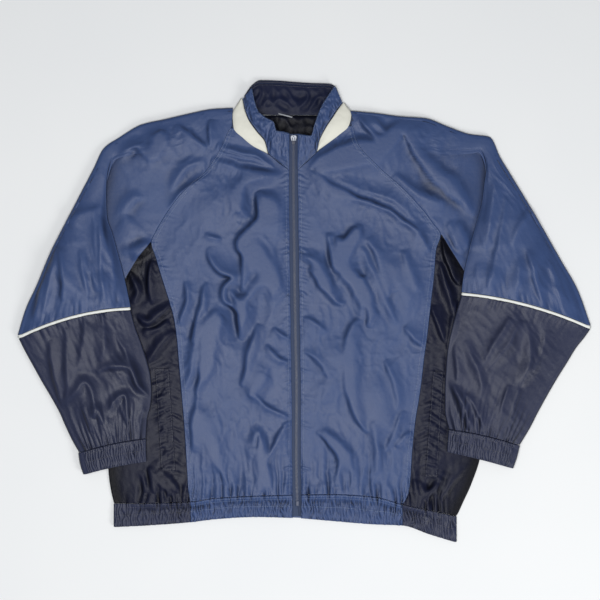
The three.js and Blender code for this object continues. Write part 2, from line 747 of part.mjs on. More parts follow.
function hem() {
  const last = BODY.right.length - 1;
  const gap = SEAM / 2;
  const [right, left] = [BODY.right[last], BODY.left[last]];
  const [endRight, endLeft] = [right.edge + 3.2, left.edge - 3.2];
  const pieces = [
    hemPiece("hem_front_right", right.inner - gap, right.seam + gap, "shell"),
    hemPiece("hem_side_right", right.seam - gap, endRight, "panel", "right"),
    hemPiece("hem_front_left", left.inner + gap, left.seam - gap, "shell"),
    hemPiece("hem_side_left", left.seam + gap, endLeft, "panel", "left"),
  ];
  const under = [0, 1].map((v) =>
    spaced(24).map((t) => {
      const x = lerp(endRight + SEAM, endLeft - SEAM, t);
      return vec(x, lerp(look(HEM, "x", x, "seam") - 2 * HEM_GAP, look(HEM, "x", x, "bottom"), v), TABLE);
    }),
  );
  return [...pieces, slab("hem_back", under, WALL, material("shell"))];
}

// A point of the collar's front, between its low line (0) and its top line (1).
function between(row, t) {
  const z = lerp(row.lowZ, row.topZ, t) + COLLAR_CROWN * Math.sin(Math.PI * t);
  return vec(lerp(row.lowX, row.topX, t), lerp(row.lowY, row.topY, t), z);
}

function collarFront(side) {
  const rows = COLLAR[side].map((row, i) => {
    const from = i >= STRIPE_FIRST ? 0.02 : 0.01;
    return spaced(4).map((t) => between(row, lerp(from, 1, t)));
  });
  return slab(`collar_front_${side}`, rows, COLLAR_WALL, material("shell"));
}

function stripe(side) {
  const rows = STRIPE[side].map(({ x, y, z }, i) => {
    const low = COLLAR[side][i + STRIPE_FIRST];
    const inner = vec(low.lowX, low.lowY, low.lowZ).lerp(vec(x, y, z), i ? 0.04 : 0.4);
    const outer = vec(x, y, z).lerp(inner, 0.03);
    return spaced(3).map((t) => {
      const p = inner.clone().lerp(outer, t);
      p.z += 1.5 * Math.sin(Math.PI * t);
      return p;
    });
  });
  return slab(`collar_stripe_${side}`, rows, WALL, material("stripe"));
}

function collarBack() {
  const sheet = (name, low, high, height, wall, colour) => {
    const rows = COLLAR_BACK.map(({ x, seam, top }) =>
      spaced(3).map((t) => {
        const v = lerp(low, high, t);
        return vec(x, lerp(seam, top, v), height(v));
      }),
    );
    return slab(name, rows, wall, material(colour));
  };
  const rise = (v) => TABLE + LINING_RISE + 1.6 * v * v;
  return [
    sheet("collar_back", 0, 1, () => TABLE, WALL, "shell"),
    sheet("collar_lining", 0, 0.9, rise, WALL, "lining"),
    sheet("collar_binding", 0.915, 1, (v) => rise(v) + 0.4, BINDING_WALL, "shell"),
  ];
}

function neckLining() {
  const { right, left, low, high, rows, columns } = NECK_LINING;
  const grid = spaced(rows).map((v) =>
    spaced(columns).map((t) => {
      const y = lerp(high, low, v);
      return vec(lerp(right, left, t), y - 4 * Math.sin(Math.PI * t) * (1 - v), TABLE + 1.8);
    }),
  );
  return slab("neck_lining", grid, WALL, material("lining"));
}

function hangerLoop() {
  const { x, y, length, width, tilt, wall } = HANGER_LOOP;
  const rows = [0.5, -0.5].map((v) =>
    spaced(6).map((t) => {
      const along = (t - 0.5) * length;
      const up = 2 * TABLE + SEAM + 2.4 * Math.sin(Math.PI * t) ** 2;
      return vec(x + along, y + along * tilt + v * width, TABLE + LINING_RISE + up);
    }),
  );
  return slab("hanger_loop", rows, wall, material("loop"));
}

// Welts lie on the side panels' own surface, moved out.
function welt(side) {
  const { topIn, topOut, lowIn, lowOut } = WELTS[side];
  const up = WALL / 2 + SEAM + WELT_WALL / 2;
  const rows = spaced(WELT_GRID.along).map((v) =>
    spaced(WELT_GRID.across).map((t) => {
      const x = lerp(lerp(topIn[0], lowIn[0], v), lerp(topOut[0], lowOut[0], v), t);
      const y = lerp(lerp(topIn[1], lowIn[1], v), lerp(topOut[1], lowOut[1], v), t);
      return vec(x, y, frontHeight(x, y) + up);
    }),
  );
  return slab(`pocket_welt_${side}`, rows, WELT_WALL, material("panel"));
}

// Zip tapes run from the collar's top to the hem, a little below the fronts' edges.
function tape(side) {
  const out = outward(side);
  const neck = BODY[side].filter(({ y }) => y <= NECK_FRONT).map(({ y }) => y);
  const levels = [ZIP_TOP - 1, 289, 267, ...neck, -334, -348, ZIP_BOTTOM];
  const rows = levels.map((y) =>
    [0.15, TAPE_HALF, TAPE_HALF + TAPE_UNDER].map((across) => {
      const x = zipX(y) + out * across;
      return vec(x, y, tapeHeight(x, y));
    }),
  );
  return slab(`zip_tape_${side}`, rows, WALL, material("tape", 0.8));
}

// The zip's slider and its pull tab, which swings about the bar that it hangs by.
const SLIDER = { y: 303, width: 10, narrow: 7, length: 9, height: 3.2, gap: 0.35 };
const BRIDGE = { width: 2.2, length: 6.7, height: 2.8, wall: 0.9 };
const PULL = { width: 5.4, length: 11, wall: 1, bar: 1, hole: 4.4, holeWidth: 3.4 };

// A closed three.js geometry as a manifold-3d solid.
function solidOf(geometry) {
  geometry.deleteAttribute("normal");
  geometry.deleteAttribute("uv");
  const merged = mergeVertices(geometry, 1e-4);
  return new wasm.Manifold(
    new wasm.Mesh({
      numProp: 3,
      vertProperties: merged.attributes.position.array,
      triVerts: new Uint32Array(merged.index.array),
    }),
  );
}

function meshOf(name, solid, finish) {
  const { vertProperties, triVerts } = solid.getMesh();
  const geometry = new THREE.BufferGeometry();
  geometry.setAttribute("position", new THREE.BufferAttribute(vertProperties, 3));
  geometry.setIndex(new THREE.BufferAttribute(triVerts, 1));
  geometry.computeVertexNormals();
  const mesh = new THREE.Mesh(geometry, finish);
  mesh.name = name;
  return mesh;
}

// The slider's body narrows towards the closed zip below it, and an arch stands on it for the pull.
function slider() {
  const { width, narrow, length, height } = SLIDER;
  const shape = new THREE.Shape();
  shape.moveTo(-narrow / 2, -length / 2);
  shape.lineTo(narrow / 2, -length / 2);
  shape.lineTo(width / 2, length * 0.1);
  shape.quadraticCurveTo(width / 2, length / 2, width * 0.25, length / 2);
  shape.lineTo(-width * 0.25, length / 2);
  shape.quadraticCurveTo(-width / 2, length / 2, -width / 2, length * 0.1);
  const body = new THREE.ExtrudeGeometry(shape, { depth: height, bevelEnabled: false, curveSegments: 5 });
  const arch = new THREE.Shape();
  const [half, wall] = [BRIDGE.length / 2, BRIDGE.wall];
  arch.moveTo(-half, -0.5);
  arch.lineTo(-half + wall, -0.5);
  arch.lineTo(-half + wall, BRIDGE.height - wall);
  arch.lineTo(half - wall, BRIDGE.height - wall);
  arch.lineTo(half - wall, -0.5);
  arch.lineTo(half, -0.5);
  arch.lineTo(half, BRIDGE.height * 0.7);
  arch.lineTo(half - wall, BRIDGE.height);
  arch.lineTo(-half + wall, BRIDGE.height);
  arch.lineTo(-half, BRIDGE.height * 0.7);
  const bridge = new THREE.ExtrudeGeometry(arch, { depth: BRIDGE.width, bevelEnabled: false });
  bridge.translate(0, 0, -BRIDGE.width / 2).rotateY(Math.PI / 2).rotateX(Math.PI / 2);
  bridge.translate(0, 0, height);
  return meshOf("zip_slider", solidOf(body).add(solidOf(bridge)), material("metal", 0.3, 0.9));
}

function pull() {
  const { width, length, wall, bar, hole, holeWidth } = PULL;
  const shape = new THREE.Shape();
  shape.moveTo(-width / 2, bar / 2);
  shape.lineTo(-width / 2, -length + width / 2);
  shape.absarc(0, -length + width / 2, width / 2, Math.PI, 2 * Math.PI, false);
  shape.lineTo(width / 2, bar / 2);
  const opening = new THREE.Path();
  opening.moveTo(-holeWidth / 2, -bar / 2);
  opening.lineTo(holeWidth / 2, -bar / 2);
  opening.lineTo(holeWidth / 2, -bar / 2 - hole);
  opening.lineTo(-holeWidth / 2, -bar / 2 - hole);
  shape.holes.push(opening);
  const plate = new THREE.ExtrudeGeometry(shape, { depth: wall, bevelEnabled: false, curveSegments: 8 });
  plate.translate(0, 0, -wall / 2);
  return meshOf("zip_pull", solidOf(plate), material("pull", 0.45, 0.4));
}

// Both lie on the tapes, at the slope of the collar's front.
function fastener() {
  const { lowZ, topZ } = COLLAR.right[0];
  const group = new THREE.Group();
  const x = zipX(SLIDER.y);
  group.rotation.x = Math.atan2(topZ - lowZ, ZIP_TOP - NECK_FRONT);
  group.position.set(x, SLIDER.y, tapeHeight(x, SLIDER.y) + WALL / 2 + SLIDER.gap);
  const tab = pull();
  tab.position.z = SLIDER.height + (BRIDGE.height - BRIDGE.wall) / 2;
  group.add(slider(), tab);
  return group;
}

const pieces = new THREE.Group();
for (const side of ["right", "left"]) {
  pieces.add(front(side), sideFront(side), sideBack(side), upperSleeve(side), piping(side));
  pieces.add(lowerSleeve(side), cuff(side), collarFront(side), stripe(side), welt(side), tape(side));
}
pieces.add(back(), ...hem(), ...collarBack(), neckLining(), hangerLoop(), fastener());

// The part's origin is the middle of its underside.
const box = new THREE.Box3().setFromObject(pieces);
const middle = box.getCenter(new THREE.Vector3());
pieces.position.set(-middle.x, -middle.y, -box.min.z);
const jacket = new THREE.Group();
jacket.add(pieces);

export default jacket;
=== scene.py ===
"""A zip-up windbreaker jacket with raglan sleeves, laid flat on its back on a pale studio table.

Lengths in the tables are millimetres in the pattern's own frame: +X is to the right of someone who looks
down at the jacket, which is the wearer's left, and +Y runs from hem to collar. Each piece of cloth is a
grid of points along the middle of its wall, worked out as whole arrays, and closed into a thin shell.
"""

from __future__ import annotations

import logging
import math
from dataclasses import dataclass, field
from enum import Enum
from typing import Callable

import bpy
import numpy as np
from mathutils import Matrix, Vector


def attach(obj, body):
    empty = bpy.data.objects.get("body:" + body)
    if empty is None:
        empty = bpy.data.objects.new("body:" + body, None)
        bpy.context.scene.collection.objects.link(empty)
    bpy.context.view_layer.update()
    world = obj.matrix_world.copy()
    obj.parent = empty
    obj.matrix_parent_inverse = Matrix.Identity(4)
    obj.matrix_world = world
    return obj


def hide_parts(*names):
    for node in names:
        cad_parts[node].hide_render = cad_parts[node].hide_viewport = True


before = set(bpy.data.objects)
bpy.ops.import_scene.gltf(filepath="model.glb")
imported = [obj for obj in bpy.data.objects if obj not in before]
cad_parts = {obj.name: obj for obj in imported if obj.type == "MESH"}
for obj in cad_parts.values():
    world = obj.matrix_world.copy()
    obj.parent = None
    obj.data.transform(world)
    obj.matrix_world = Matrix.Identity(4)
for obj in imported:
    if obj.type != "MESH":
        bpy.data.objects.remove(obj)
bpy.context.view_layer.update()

Array = np.ndarray
log = logging.getLogger("windbreaker")

# Frame of the pattern, walls and gaps
METRES = 0.001
PATTERN_TO_ROW = np.array([0.431, 0.006, 0.0])
GARMENT = "garment"
WALL = 1.2
BAND_WALL = 2.0
COLLAR_WALL = 1.8
SEAM = 0.14
HEM_GAP = 1.0
CLEAR = 0.9
TABLE = WALL / 2

# Heights of the laid cloth
BODY_LOW = 3.2
BODY_PUFF = 8.5
PUFF_REACH = 55.0
SHOULDER_REACH = 30.0
PLEAT_RADIUS = 1.6
SLEEVE_EDGE = 8.0
SLEEVE_PUFF = 11.0

# The zip
DROP_FRONT = 1.75
DROP_COLLAR = 2.9
DROP_HEM = 3.4
ZIP_TOP = 311.0
ZIP_BOTTOM = -361.0
NECK_FRONT = 245.0


def table(columns: str, rows: list[tuple[float, ...]]) -> dict[str, Array]:
    """Turns rows of numbers into named columns.

    Args:
        columns: Names of the columns, with a space between them.
        rows: One tuple for each row, in the order of the names.

    Returns:
        An array for each name.
    """
    return dict(zip(columns.split(), np.array(rows, dtype=float).T))


# Body sections of each side, from the neck down to the hem seam. inner is the neck seam and then the zip,
# seam the raglan seam and then the seam of the side panel, edge the armhole and then the body's side fold.
BODY = {
    "right": table("y inner seam edge", [
        (322, -120.5, -131, -131), (304, -105, -139, -139), (290, -89, -145, -145), (275, -63, -153, -153),
        (260, -45, -163, -163), (245, -27, -174, -174), (224, -27, -198, -198), (205, -27, -217, -217),
        (185, -27, -233, -233), (163, -27, -248, -248), (142, -26, -260, -260.5), (121, -26, -269, -270.5),
        (93, -26, -261, -293), (57, -25, -250, -315), (38, -25, -244, -327), (19, -25, -238, -339),
        (-15, -24, -229, -343), (-50, -24, -224, -346), (-85, -23, -221, -348), (-120, -23, -218, -348),
        (-155, -22, -215, -348), (-190, -22, -212, -348), (-225, -22, -209.5, -347),
        (-255, -22, -207.5, -346), (-280, -21, -205.5, -344), (-302, -21, -204, -340),
        (-322, -21, -200, -335),
    ]),
    "left": table("y inner seam edge", [
        (325, 76, 86, 86), (308, 57, 89, 89), (291, 36, 95, 95), (278, 21, 105, 105), (262, 5, 121, 121),
        (245, -12, 139, 139), (226, -12, 161, 161), (209, -12, 179, 179), (192, -11, 195, 195),
        (175, -11, 210, 210), (155, -11, 225, 225.5), (134, -11, 239, 240.5), (107, -10, 231, 257),
        (69, -10, 228, 281), (47, -10, 226, 295), (32, -9, 224, 309), (-12, -9, 219, 314),
        (-47, -8, 215, 318), (-82, -8, 210, 320), (-118, -7, 206, 321), (-154, -7, 201, 321),
        (-190, -7, 195, 319), (-225, -7, 191, 315), (-255, -7, 188, 307), (-280, -7, 186, 293),
        (-302, -6, 182, 278), (-322, -6, 172, 267),
    ]),
}
APEX_ROW = 11
UNDERARM_ROW = 15
BODY_BOTTOM = -322.0

ZIP = table("y x", [
    (ZIP_TOP, -19), (245, -19.6), (107, -18), (-33, -16), (-139, -14), (-245, -14.5), (-327, -13),
    (ZIP_BOTTOM, -10),
])
SIDE_FOLD = table("y right left", [
    (300, -352, 330), (134, -350, 326), (69, -345, 318), (22, -339, 309), (-50, -346, 318),
    (-120, -348, 321), (-190, -348, 319), (-255, -346, 309), (-302, -340, 294), (-340, -334, 275),
    (-380, -335, 262),
])
SHOULDER_LINE = table("x y", [
    (-350, 292), (-284, 329), (-202, 347), (-126, 357), (80, 352), (175, 342), (238, 329), (327, 306),
])
HEM = table("x seam bottom", [
    (-336, -338, -380), (-278, -337, -377), (-199, -334, -371), (-158, -328, -366), (-86, -324, -362),
    (-13, -322, -364), (49, -321, -369), (124, -326, -375), (172, -339, -377), (221, -350, -393),
    (267, -361, -407),
])
HEM_BEND_FROM = -225.0
HEM_BEND_TO = -318.0

# Sleeve sections from the neck to the piping. fold is the visible inner edge, out the outer fold, deep how
# far the cloth runs on under the fold. rise is 1 where the fold is a full turn of cloth. bow bends the row.
UPPER_SLEEVE = {
    "right": table("y foldX foldY outX outY deep rise bow", [
        (330, -127, 339, -126, 357, -6, 0, 0), (304, -150, 334, -162, 355, -8, 0, 0),
        (275, -178, 316, -203, 347, -12, 0, 0), (245, -212, 299, -246, 337, -14, 0, 0),
        (224, -252, 292, -286, 328, -14, 0, 0), (205, -300, 284, -326, 305, -12, 0, 0),
        (185, -338, 272, -353, 286, -9, 0.25, 0), (163, -347, 240, -371, 250, -4, 0.7, 0),
        (142, -350, 205, -397, 200, 4, 1, 0), (121, -349, 168, -424, 147, 12, 1, 2),
        (93, -339, 135, -447, 101, 20, 1, 4), (57, -325, 85, -470, 45, 32, 1, 7),
        (38, -315, 45, -490, 2, 40, 1, 9), (19, -307, 7, -504, -44, 50, 1, 11),
    ]),
    "left": table("y foldX foldY outX outY deep rise bow", [
        (333, 84, 340, 80, 352, -6, 0, 0), (308, 109, 334, 124, 348, -8, 0, 0),
        (278, 144, 320, 170, 342, -12, 0, 0), (245, 180, 304, 212, 339, -14, 0, 0),
        (226, 218, 294, 250, 325, -14, 0, 0), (209, 264, 283, 290, 311, -12, 0, 0),
        (192, 308, 285, 325, 306, -9, 0.25, 0), (175, 320, 255, 344, 270, -4, 0.7, 0),
        (155, 317, 222, 364, 237, 4, 1, 0), (134, 313, 190, 388, 197, 12, 1, 2),
        (107, 302, 150, 415, 151, 20, 1, 4), (69, 289, 100, 450, 89, 30, 1, 7),
        (47, 281, 64, 480, 36, 38, 1, 9), (32, 277, 33, 503, -27, 50, 1, 10),
    ]),
}
PIPING_FROM = 0.11

LOWER_SLEEVE = {
    "right": table("foldX foldY outX outY bow", [
        (-305, 1, -502, -50, 11), (-298, -26, -492, -70, 10), (-287, -56, -477, -97, 8),
        (-277, -86, -462, -124, 7), (-270, -115, -446, -151, 6), (-268, -142, -431, -178, 5),
        (-270, -166, -420, -203, 5), (-276, -190, -408, -228, 4), (-278, -223, -396, -249, 4),
    ]),
    "left": table("foldX foldY outX outY bow", [
        (275, 27, 502, -33, 10), (268, 2, 493, -46, 9), (260, -25, 477, -66, 8), (253, -55, 461, -92, 7),
        (249, -86, 444, -119, 6), (247, -117, 427, -148, 5), (246, -146, 411, -177, 5),
        (246, -174, 396, -206, 4), (253, -207, 378, -236, 4),
    ]),
}
CUFF = {
    "right": table("foldX foldY outX outY bow", [
        (-278, -224, -397, -250, 4), (-278, -244, -394, -269, 3), (-277, -264, -388, -288, 3),
    ]),
    "left": table("foldX foldY outX outY bow", [
        (253, -208, 378, -237, 4), (251, -228, 373, -257, 3), (250, -247, 366, -277, 2),
    ]),
}

# The collar's front, from the zip to its side fold, with the stripe between its low line and the body.
COLLAR = {
    "right": table("lowX lowY lowZ topX topY topZ", [
        (-26.5, 245.5, 11, -26.5, 311, 25), (-45, 260.5, 12, -38, 314, 26), (-63, 275.5, 13, -49, 316, 26),
        (-69, 297, 15, -54, 331, 24), (-84, 316, 15, -68, 339, 21), (-98, 337, 13, -81, 351, 17),
        (-105, 355, 10, -88, 371, 13), (-109, 372, 6, -92, 392, 10),
    ]),
    "left": table("lowX lowY lowZ topX topY topZ", [
        (-12.5, 245.5, 11, -12, 310, 25), (5, 262.5, 12, 0, 308, 26), (21, 278.5, 13, 11, 307, 26),
        (26, 299, 15, 17, 325, 24), (37, 322, 15, 23, 343, 21), (50, 342, 13, 31, 362, 17),
        (58, 354, 10, 41, 378, 13), (67, 365, 6, 53, 396, 10),
    ]),
}
STRIPE = {
    "right": table("x y z", [
        (-66, 277, 12), (-89, 290.4, 12), (-105.4, 304.4, 12), (-122, 322.5, 10), (-124.5, 346, 7),
        (-111.5, 374, 4),
    ]),
    "left": table("x y z", [
        (22, 280.5, 12), (36, 292, 12), (57, 309, 12), (75.5, 327, 10), (80, 346, 7), (70, 366, 4),
    ]),
}
STRIPE_FIRST = 2
COLLAR_BACK = table("x seam top", [
    (-106, 356, 379), (-92, 349, 398), (-78, 346, 406), (-45, 345, 405), (-19, 345, 403),
    (12, 345, 401), (42, 345, 400), (54, 346, 395), (64, 350, 372),
])
LINING_RISE = 1.55

# Pocket welts: corners of the top and bottom end, from the inner corner outwards.
WELTS = {
    "right": np.array([[(-238, -100), (-263, -101)], [(-226, -280), (-251, -281)]], dtype=float),
    "left": np.array([[(226, -105), (244, -106)], [(211, -291), (233, -292)]], dtype=float),
}
WELT_WALL = 1.4


# Direction on the floor that the light comes from, and a lap's lengths for its width on both sides.
LIGHT_FROM = (0.7, -0.7)
LAP_LIT = 1.7
LAP_STEEP = 0.6


@dataclass(frozen=True)
class Crease:
    """One crease along a path that tapers to its ends.

    A height above 0 is a ridge. A height below 0 is a lap: a sharp crest along the path that falls steeply
    on the side away from the light. lean makes the side to the left of the path longer, the other steeper.
    """

    width: float
    height: float
    lean: float
    path: tuple[tuple[float, float], ...]

    def line(self) -> Array:
        """The path as a smooth line of points: a Catmull-Rom spline through its corners.

        Returns:
            (n, 2) points in plan.
        """
        p = np.array(self.path, dtype=float)
        p = np.vstack([2 * p[0] - p[1], p, 2 * p[-1] - p[-2]])
        t = np.linspace(0, 1, 4, endpoint=False)[:, None]
        a, b, c, d = (p[k : len(p) - 3 + k, None, :] for k in range(4))
        spline = 0.5 * (2 * b + (c - a) * t + (2 * a - 5 * b + 4 * c - d) * t**2
                        + (3 * b - a - 3 * c + d) * t**3)
        return np.vstack([spline.reshape(-1, 2), p[-2]])

    def relief(self, x: Array, y: Array) -> Array:
        """Height that the crease adds at points of the plane.

        With s the distance to the path, w the width and u the place along it from 0 to 1, a ridge is
        height * (4u(1-u))^0.7 * (exp(-s / w) less a third of a wide shoulder on both sides). A lap is
        the same with w much longer on the side of the light than on the other, where a hollow follows.

        Args:
            x: Points across the jacket.
            y: Points along the jacket, in the same shape.

        Returns:
            Heights in millimetres, in the same shape.
        """
        line = self.line()
        reach = 6 * self.width
        low, high = line.min(axis=0) - reach, line.max(axis=0) + reach
        near = (x > low[0]) & (x < high[0]) & (y > low[1]) & (y < high[1])
        out = np.zeros_like(x)
        if not near.any():
            return out
        point = np.stack([x[near], y[near]], axis=-1)[:, None, :]
        start, step = line[:-1], np.diff(line, axis=0)
        length = np.linalg.norm(step, axis=1)
        t = np.clip(((point - start) * step).sum(-1) / length**2, 0, 1)
        away = point - start - t[..., None] * step
        distance = np.linalg.norm(away, axis=-1)
        k = distance.argmin(axis=1)
        row = np.arange(len(k))
        side = np.sign(step[k, 0] * away[row, k, 1] - step[k, 1] * away[row, k, 0])
        s = distance[row, k]
        u = (np.concatenate([[0], np.cumsum(length)])[k] + t[row, k] * length[k]) / length.sum()
        taper = np.clip(4 * u * (1 - u), 0, 1) ** 0.7
        width = self.width * (0.5 + 0.5 * taper) * (1 + self.lean * side)
        crest = 0.3 * self.width
        peak = np.exp(-(np.sqrt(s**2 + crest**2) - crest) / width)
        if self.height > 0:
            shoulder = np.exp(-(((s - 2.4 * width) / (1.3 * width)) ** 2))
            out[near] = self.height * taper * (peak - 0.3 * shoulder)
            return out
        whole = line[-1] - line[0]
        lit = side * (np.sign(whole[0] * LIGHT_FROM[1] - whole[1] * LIGHT_FROM[0]) or 1) > 0
        width = self.width * (0.5 + 0.5 * taper) * np.where(lit, LAP_LIT, LAP_STEEP)
        peak = np.exp(-(np.sqrt(s**2 + crest**2) - crest) / width)
        hollow = np.where(lit, 0, 0.35) * (1 - np.exp(-s / width)) * np.exp(-s / (2.2 * self.width))
        out[near] = -self.height * taper * (peak - hollow)
        return out


# Broad folds of the body and the sleeves, as straight rounded bumps and hollows.
FOLDS = table("x1 y1 x2 y2 width height", [
    (-84, 211, -106, 75, 17, -2), (-100, 130, -48, 26, 18, 4), (-137, 53, -114, -57, 16, -2),
    (-150, 0, -184, -110, 16, 3), (-72, -100, -100, -150, 18, 3), (-92, -230, -66, -310, 16, 3),
    (-150, 256, -26, 240, 30, -3), (-250, 312, -274, 268, 18, 4), (71, 102, 104, 18, 18, 3),
    (71, 102, 102, 139, 16, 3), (76, 226, 194, 144, 28, -3), (12, 254, 124, 285, 20, 4),
    (124, 285, 206, 338, 20, 3), (-190, 170, -120, 200, 30, 3), (150, 90, 190, 10, 24, 3),
    (60, -60, 40, -160, 26, 3), (130, -120, 140, -220, 26, 3), (-60, 200, -50, 130, 24, 3),
    (-180, -180, -160, -280, 22, 3), (100, 240, 60, 200, 24, 2),
])
SLEEVE_FOLDS = table("x1 y1 x2 y2 width height", [
    (-400, 190, -350, 60, 17, -2), (-440, 90, -380, 10, 16, 4), (-350, 60, -345, 10, 14, 4),
    (-440, -40, -350, -130, 18, -2), (-380, -30, -310, -120, 16, 4), (-420, -110, -340, -210, 17, 3),
    (360, 210, 330, 80, 16, -2), (420, 110, 360, 30, 17, 4), (330, 70, 320, 30, 14, 3),
    (370, -10, 300, -100, 16, 3), (400, -90, 330, -190, 17, 3), (440, 40, 470, 0, 16, 3),
])

